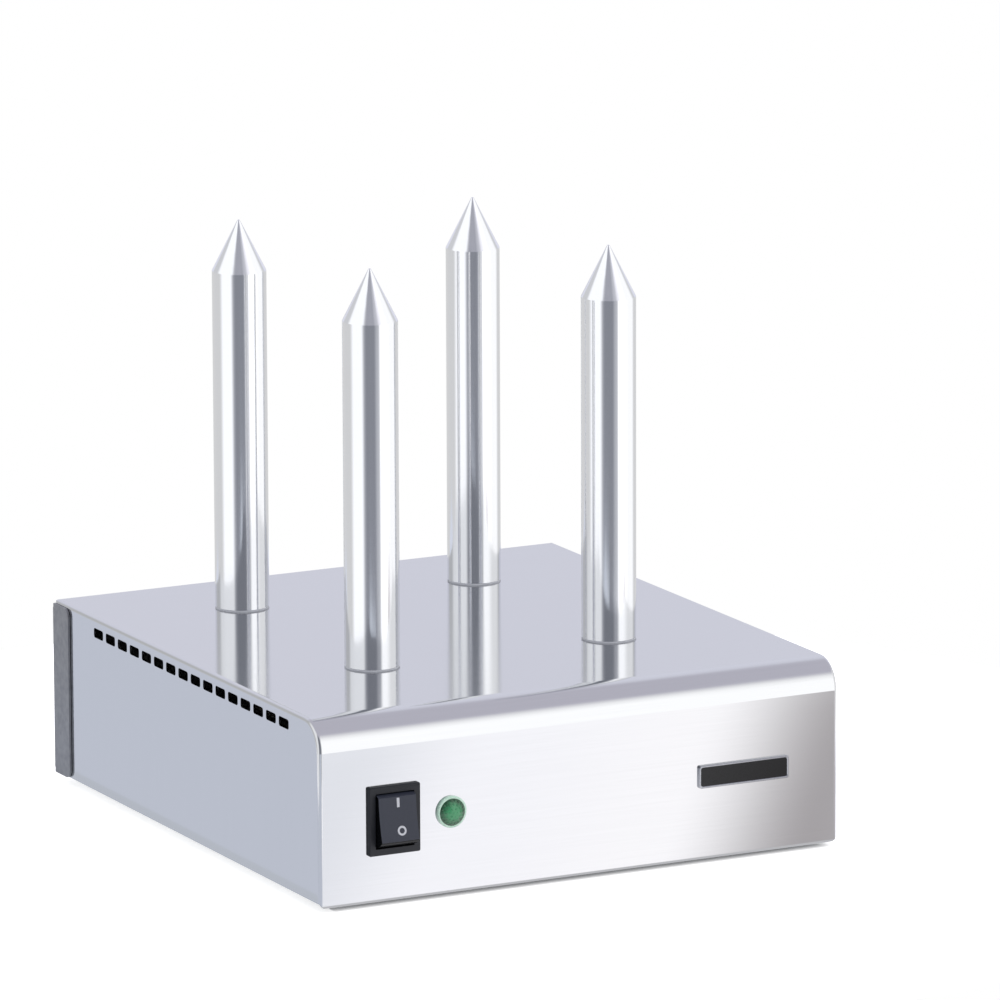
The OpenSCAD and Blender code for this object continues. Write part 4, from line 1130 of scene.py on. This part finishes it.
@dataclass(frozen=True)
class PhotoCamera:
    """The camera at the photograph's viewing angle, fitted to the edges of the case and the spikes."""

    azimuth: float = -27.0895
    elevation: float = 12.2370
    roll: float = -0.2099
    lens_mm: float = 335.115
    sensor_mm: float = 36.0
    distance_mm: float = 4258.114
    target_mm: Triple = (34.1052, 0.8031, 141.9827)

    def build(self) -> None:
        """Make the camera and give it to the scene."""
        turn, rise, tilt = map(math.radians, (self.azimuth, self.elevation, self.roll))
        back = Vector((math.sin(turn) * math.cos(rise), -math.cos(turn) * math.cos(rise), math.sin(rise)))
        level = Vector((math.cos(turn), math.sin(turn), 0))
        upright = back.cross(level)
        right = level * math.cos(tilt) + upright * math.sin(tilt)
        up = upright * math.cos(tilt) - level * math.sin(tilt)
        camera = bpy.data.objects.new("photo_camera", bpy.data.cameras.new("photo_camera"))
        camera.data.lens = self.lens_mm
        camera.data.sensor_width = self.sensor_mm
        camera.data.sensor_fit = "HORIZONTAL"
        camera.matrix_world = Matrix((right, up, back)).transposed().to_4x4()
        camera.location = (Vector(self.target_mm) + back * self.distance_mm) * MM
        bpy.context.scene.collection.objects.link(camera)
        bpy.context.scene.camera = camera


@dataclass(frozen=True)
class LightZone:
    """A soft-edged part of the light all round, by direction in degrees. Azimuth 0 is in front."""

    name: str
    colour: str
    level: float
    azimuth: float
    half_width: float
    low: float
    high: float
    soft: float


@dataclass(frozen=True)
class MirrorCard:
    """A graded card on the floor that shows only as one wall's mirror image.

    Places are measured from the case's left front corner. The fade runs along a direction that need not be a
    unit long, and its colours are those that the wall then shows.
    """

    name: str
    start_mm: tuple[float, float]
    end_mm: tuple[float, float]
    run_mm: tuple[float, float]
    fade_way: tuple[float, float]
    fade: tuple[tuple[float, str], ...]


@dataclass(frozen=True)
class Studio:
    """A white studio: a pale floor, light from all round, and cards that the walls of the case mirror."""

    floor_r_mm: float = 390.0
    floor_colour: str = "#FAF9F6"
    floor_lift: float = 0.6
    gap_front_mm: tuple[float, float] = (-1.5, 9.0)     # where the gap under the front begins, and is whole
    gap_rear_mm: tuple[float, float] = (27.0, 18.0)     # both from the front of the case
    gap_left_mm: tuple[float, float] = (8.0, 9.0)       # from its left side
    gap_right_mm: tuple[float, float] = (-1.5, 8.0)     # from its right side
    surround_colour: str = "#F0F1F3"
    surround_level: float = 0.8
    # Name, colour, level, azimuth, half width, low end, high end, softness
    zones: tuple[LightZone, ...] = (
        LightZone("rear_wall", "#F1F2FF", 0.957, 153, 40, -10, 100, 8),
        LightZone("rear_glow", "#F1F2FF", 1.08, 153, 60, 22, 100, 8),
        LightZone("left_window", "#FCFDFF", 1.25, -95, 36, 8, 48, 9),
        LightZone("ceiling", "#F3F1FF", 0.8, 0, 200, 49, 100, 8),
        LightZone("front_ceiling", "#F3F1FF", 0.8, 27, 80, 31, 100, 7),
        LightZone("below_horizon", "#FFFFFF", 0.745, 0, 200, -100, -4, 3),
        LightZone("left_wall", "#FCFDFF", 1.25, -81, 28, -90, 50, 10),
        LightZone("right_wall", "#FFFFFF", 1.2, 62, 34, -90, 40, 10),
        LightZone("front_softbox", "#FFFFFF", 1.65, 27, 21, -90, 36.5, 15),
        LightZone("dim_side", "#CBCDD4", 0.9, -22.0, 34.5, -90, 44, 7),
        LightZone("camera_side", "#9DA0A9", 0.82, -27.0, 22.5, -90, 44, 8),
    )
    lamp_at_mm: Triple = (350.0, -900.0, 1700.0)
    lamp_width_mm: float = 1300.0
    lamp_watts: float = 6.0
    card_level: float = 1.7              # makes up for what the steel takes away
    card_lift_mm: float = 0.2
    cards: tuple[MirrorCard, ...] = (
        MirrorCard(
            "front_card", start_mm=(-30, 0), end_mm=(400, 0), run_mm=(158, -310), fade_way=(1.0, 0.65),
            fade=((-25, "#DEDFE4"), (52, "#F3F2F5"), (165, "#F8F6F7"), (245, "#A4A0A1"), (290, "#B4B0B2"))),
        MirrorCard(
            "side_card", start_mm=(0, -360), end_mm=(0, 660), run_mm=(-200, 0), fade_way=(0.0, 1.0),
            fade=((-360, "#B8BDC6"), (20, "#B5B9C4"), (660, "#B5B9C4"))),
        MirrorCard(
            "right_card", start_mm=(260, 0), end_mm=(260, 660), run_mm=(200, 0), fade_way=(0.0, 1.0),
            fade=((0, "#B6BAC4"), (660, "#B6BAC4"))),
        MirrorCard(
            "side_shade", start_mm=(2, -10), end_mm=(2, 300), run_mm=(-15, 0), fade_way=(0.0, 1.0),
            fade=((0, "#AFB3BB"), (278, "#AEB2BA"))),
        MirrorCard(
            "foot_shade", start_mm=(-10, 12), end_mm=(270, 12), run_mm=(0, -14), fade_way=(1.0, 0.0),
            fade=((0, "#B6B6B8"), (260, "#B6B6B8"))),
    )

    def surround(self) -> None:
        """Light the scene from all round, and keep what the camera sees of it, also through glass, white."""
        world = bpy.data.worlds.new("white_studio")
        world.use_nodes = True
        bpy.context.scene.world = world
        tree = world.node_tree
        place = add_node(tree, "ShaderNodeTexCoord")
        axes = add_node(tree, "ShaderNodeSeparateXYZ", {0: place["Generated"]})
        forward = add_node(tree, "ShaderNodeMath", {0: axes["Y"], 1: -1.0}, operation="MULTIPLY")
        azimuth = add_node(tree, "ShaderNodeMath", {0: axes["X"], 1: forward[0]}, operation="ARCTAN2")
        elevation = add_node(tree, "ShaderNodeMath", {0: axes["Z"]}, operation="ARCSINE")
        light: Link | tuple = self.bright(self.surround_colour, self.surround_level)
        for zone in self.zones:
            share = self.zone_share(tree, zone, azimuth[0], elevation[0])
            zone_light = self.bright(zone.colour, zone.level)
            ends = {0: share, FIRST_COLOUR: light, SECOND_COLOUR: zone_light}
            light = add_node(tree, "ShaderNodeMix", ends, data_type="RGBA", label=zone.name)[MIXED_COLOUR]
        path = add_node(tree, "ShaderNodeLightPath")
        seen = {0: path["Is Camera Ray"], 1: path["Is Transmission Ray"]}
        direct = add_node(tree, "ShaderNodeMath", seen, operation="MAXIMUM")[0]
        ends = {0: direct, FIRST_COLOUR: light, SECOND_COLOUR: linear("#FFFFFF")}
        shade = add_node(tree, "ShaderNodeMix", ends, data_type="RGBA")[MIXED_COLOUR]
        feed(tree, tree.nodes["Background"], {"Color": shade, "Strength": 1.0})

    def bright(self, colour: str, level: float) -> tuple[float, float, float, float]:
        """Give a hex colour at a light level."""
        red, green, blue, _ = linear(colour)
        return red * level, green * level, blue * level, 1.0

    def zone_share(self, tree: Tree, zone: LightZone, azimuth: Link, elevation: Link) -> Link:
        """Say how much a zone shows in a direction.

        Args:
            tree: The world's tree.
            zone: The zone.
            azimuth: Direction round the object, in radians.
            elevation: Direction above the floor, in radians.

        Returns:
            0 outside the zone, 1 inside it.
        """
        middle, half, low, high, soft = map(
            math.radians, (zone.azimuth, zone.half_width, zone.low, zone.high, zone.soft))
        off = add_node(tree, "ShaderNodeMath", {0: azimuth, 1: middle}, operation="SUBTRACT")[0]
        half_turn = {0: off, 1: math.pi, 2: -math.pi}
        wrapped = add_node(tree, "ShaderNodeMath", half_turn, operation="WRAP")[0]
        away = add_node(tree, "ShaderNodeMath", {0: wrapped}, operation="ABSOLUTE")[0]
        return overlap(tree, (away, half + soft, half - soft), (elevation, low - soft, low + soft),
                       (elevation, high + soft, high - soft))

    def floor(self) -> None:
        """Lay the floor: white to the camera and in reflections, but for the object's shadow.

        The gap under the front edge keeps the whole of its shadow.
        """
        corners = [Vector((x, y, 0)) * MM for x, y in ring(self.floor_r_mm)]
        shape = bmesh.new()
        shape.faces.new([shape.verts.new(corner) for corner in corners])
        slab = shown("floor", finished(shape, "floor"))
        material = new_material("white_paper_floor")
        tree = material.node_tree
        path = add_node(tree, "ShaderNodeLightPath")
        seen = path["Is Camera Ray"]
        for ray in ("Is Glossy Ray", "Is Transmission Ray"):
            seen = add_node(tree, "ShaderNodeMath", {0: seen, 1: path[ray]}, operation="MAXIMUM")[0]
        low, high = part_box("body_shell")
        place = add_node(tree, "ShaderNodeTexCoord")["Object"]
        axes = add_node(tree, "ShaderNodeSeparateXYZ", {0: place})
        edges = (("Y", low.y, 1, self.gap_front_mm), ("Y", low.y, 1, self.gap_rear_mm),
                 ("X", low.x, 1, self.gap_left_mm), ("X", high.x, -1, self.gap_right_mm))
        limits = [(axes[axis], edge + way * begins * MM, edge + way * whole * MM)
                  for axis, edge, way, (begins, whole) in edges]
        outside = {0: 1.0, 1: overlap(tree, *limits)}
        lift = add_node(tree, "ShaderNodeMath", outside, operation="SUBTRACT")[0]
        for factor in (self.floor_lift, seen):
            lift = add_node(tree, "ShaderNodeMath", {0: lift, 1: factor}, operation="MULTIPLY")[0]
        feed(tree, tree.nodes["Principled BSDF"], {
            "Base Color": linear(self.floor_colour), "Roughness": 1.0, "Specular IOR Level": 0.0,
            "Emission Color": linear("#FFFFFF"), "Emission Strength": lift})
        slab.data.materials.append(material)

    def lamp(self) -> None:
        """Hang one wide soft lamp, which fills in but shows in no reflection."""
        lamp = bpy.data.lights.new("soft_lamp", "AREA")
        lamp.energy = self.lamp_watts
        lamp.size = self.lamp_width_mm * MM
        holder = bpy.data.objects.new("soft_lamp", lamp)
        holder.location = Vector(self.lamp_at_mm) * MM
        holder.rotation_euler = holder.location.to_track_quat("Z", "Y").to_euler()
        holder.visible_camera = False
        holder.visible_glossy = False
        bpy.context.scene.collection.objects.link(holder)

    def lay(self, card: MirrorCard, lift_mm: float) -> None:
        """Lay one card, which only reflections show.

        Args:
            card: The card.
            lift_mm: Its height above the floor.
        """
        low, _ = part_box("body_shell")
        origin = Vector((low.x, low.y, lift_mm * MM))
        start, end, run = (Vector((*way, 0)) * MM for way in (card.start_mm, card.end_mm, card.run_mm))
        shape = bmesh.new()
        corners = (start, start + run, end + run, end)
        shape.faces.new([shape.verts.new(origin + corner) for corner in corners])
        piece = shown(card.name, finished(shape, card.name))
        material = new_material(card.name)
        tree = material.node_tree
        place = add_node(tree, "ShaderNodeTexCoord")
        fade_way = Vector((*card.fade_way, 0))
        along = add_node(tree, "ShaderNodeVectorMath", {
            0: place["Object"], 1: fade_way}, operation="DOT_PRODUCT")["Value"]
        first, last = card.fade[0][0], card.fade[-1][0]
        zero = fade_way.dot(origin)
        share = add_node(tree, "ShaderNodeMapRange", {
            "Value": along, "From Min": zero + first * MM, "From Max": zero + last * MM})
        fade = add_node(tree, "ShaderNodeValToRGB", {0: share[0]})[0]
        ramp = fade.node.color_ramp
        ramp.interpolation = "EASE"
        for spot, _ in card.fade[1:-1]:
            ramp.elements.new((spot - first) / (last - first))
        for stop, (_, colour) in zip(ramp.elements, card.fade):
            stop.color = linear(colour)
        glow = add_node(tree, "ShaderNodeEmission", {"Color": fade, "Strength": self.card_level})
        feed(tree, tree.nodes["Material Output"], {"Surface": glow[0]})
        piece.data.materials.append(material)
        piece.visible_camera = False
        piece.visible_diffuse = False
        piece.visible_transmission = False
        piece.visible_shadow = False

    def build(self) -> None:
        """Set up the light, the floor and the cards."""
        self.surround()
        self.lamp()
        self.floor()
        for count, card in enumerate(self.cards, start=1):
            self.lay(card, self.card_lift_mm * count)


def main() -> None:
    """Build the camera, the studio and every sub-assembly in order."""
    logging.basicConfig(level=logging.INFO, format="%(message)s")
    bpy.context.scene.view_settings.view_transform = "Standard"
    PhotoCamera().build()
    Studio().build()
    kinds = (CaseSheets, NamePlate, RockerSwitch, PilotLamp, Spikes, Fasteners, CableGland, Feet,
             InnerFittings)
    for kind in kinds:
        group = kind()
        group.dress()
        group.build()
        LOG.info("%s dressed", kind.__name__)


if __name__ == "__main__":
    main()
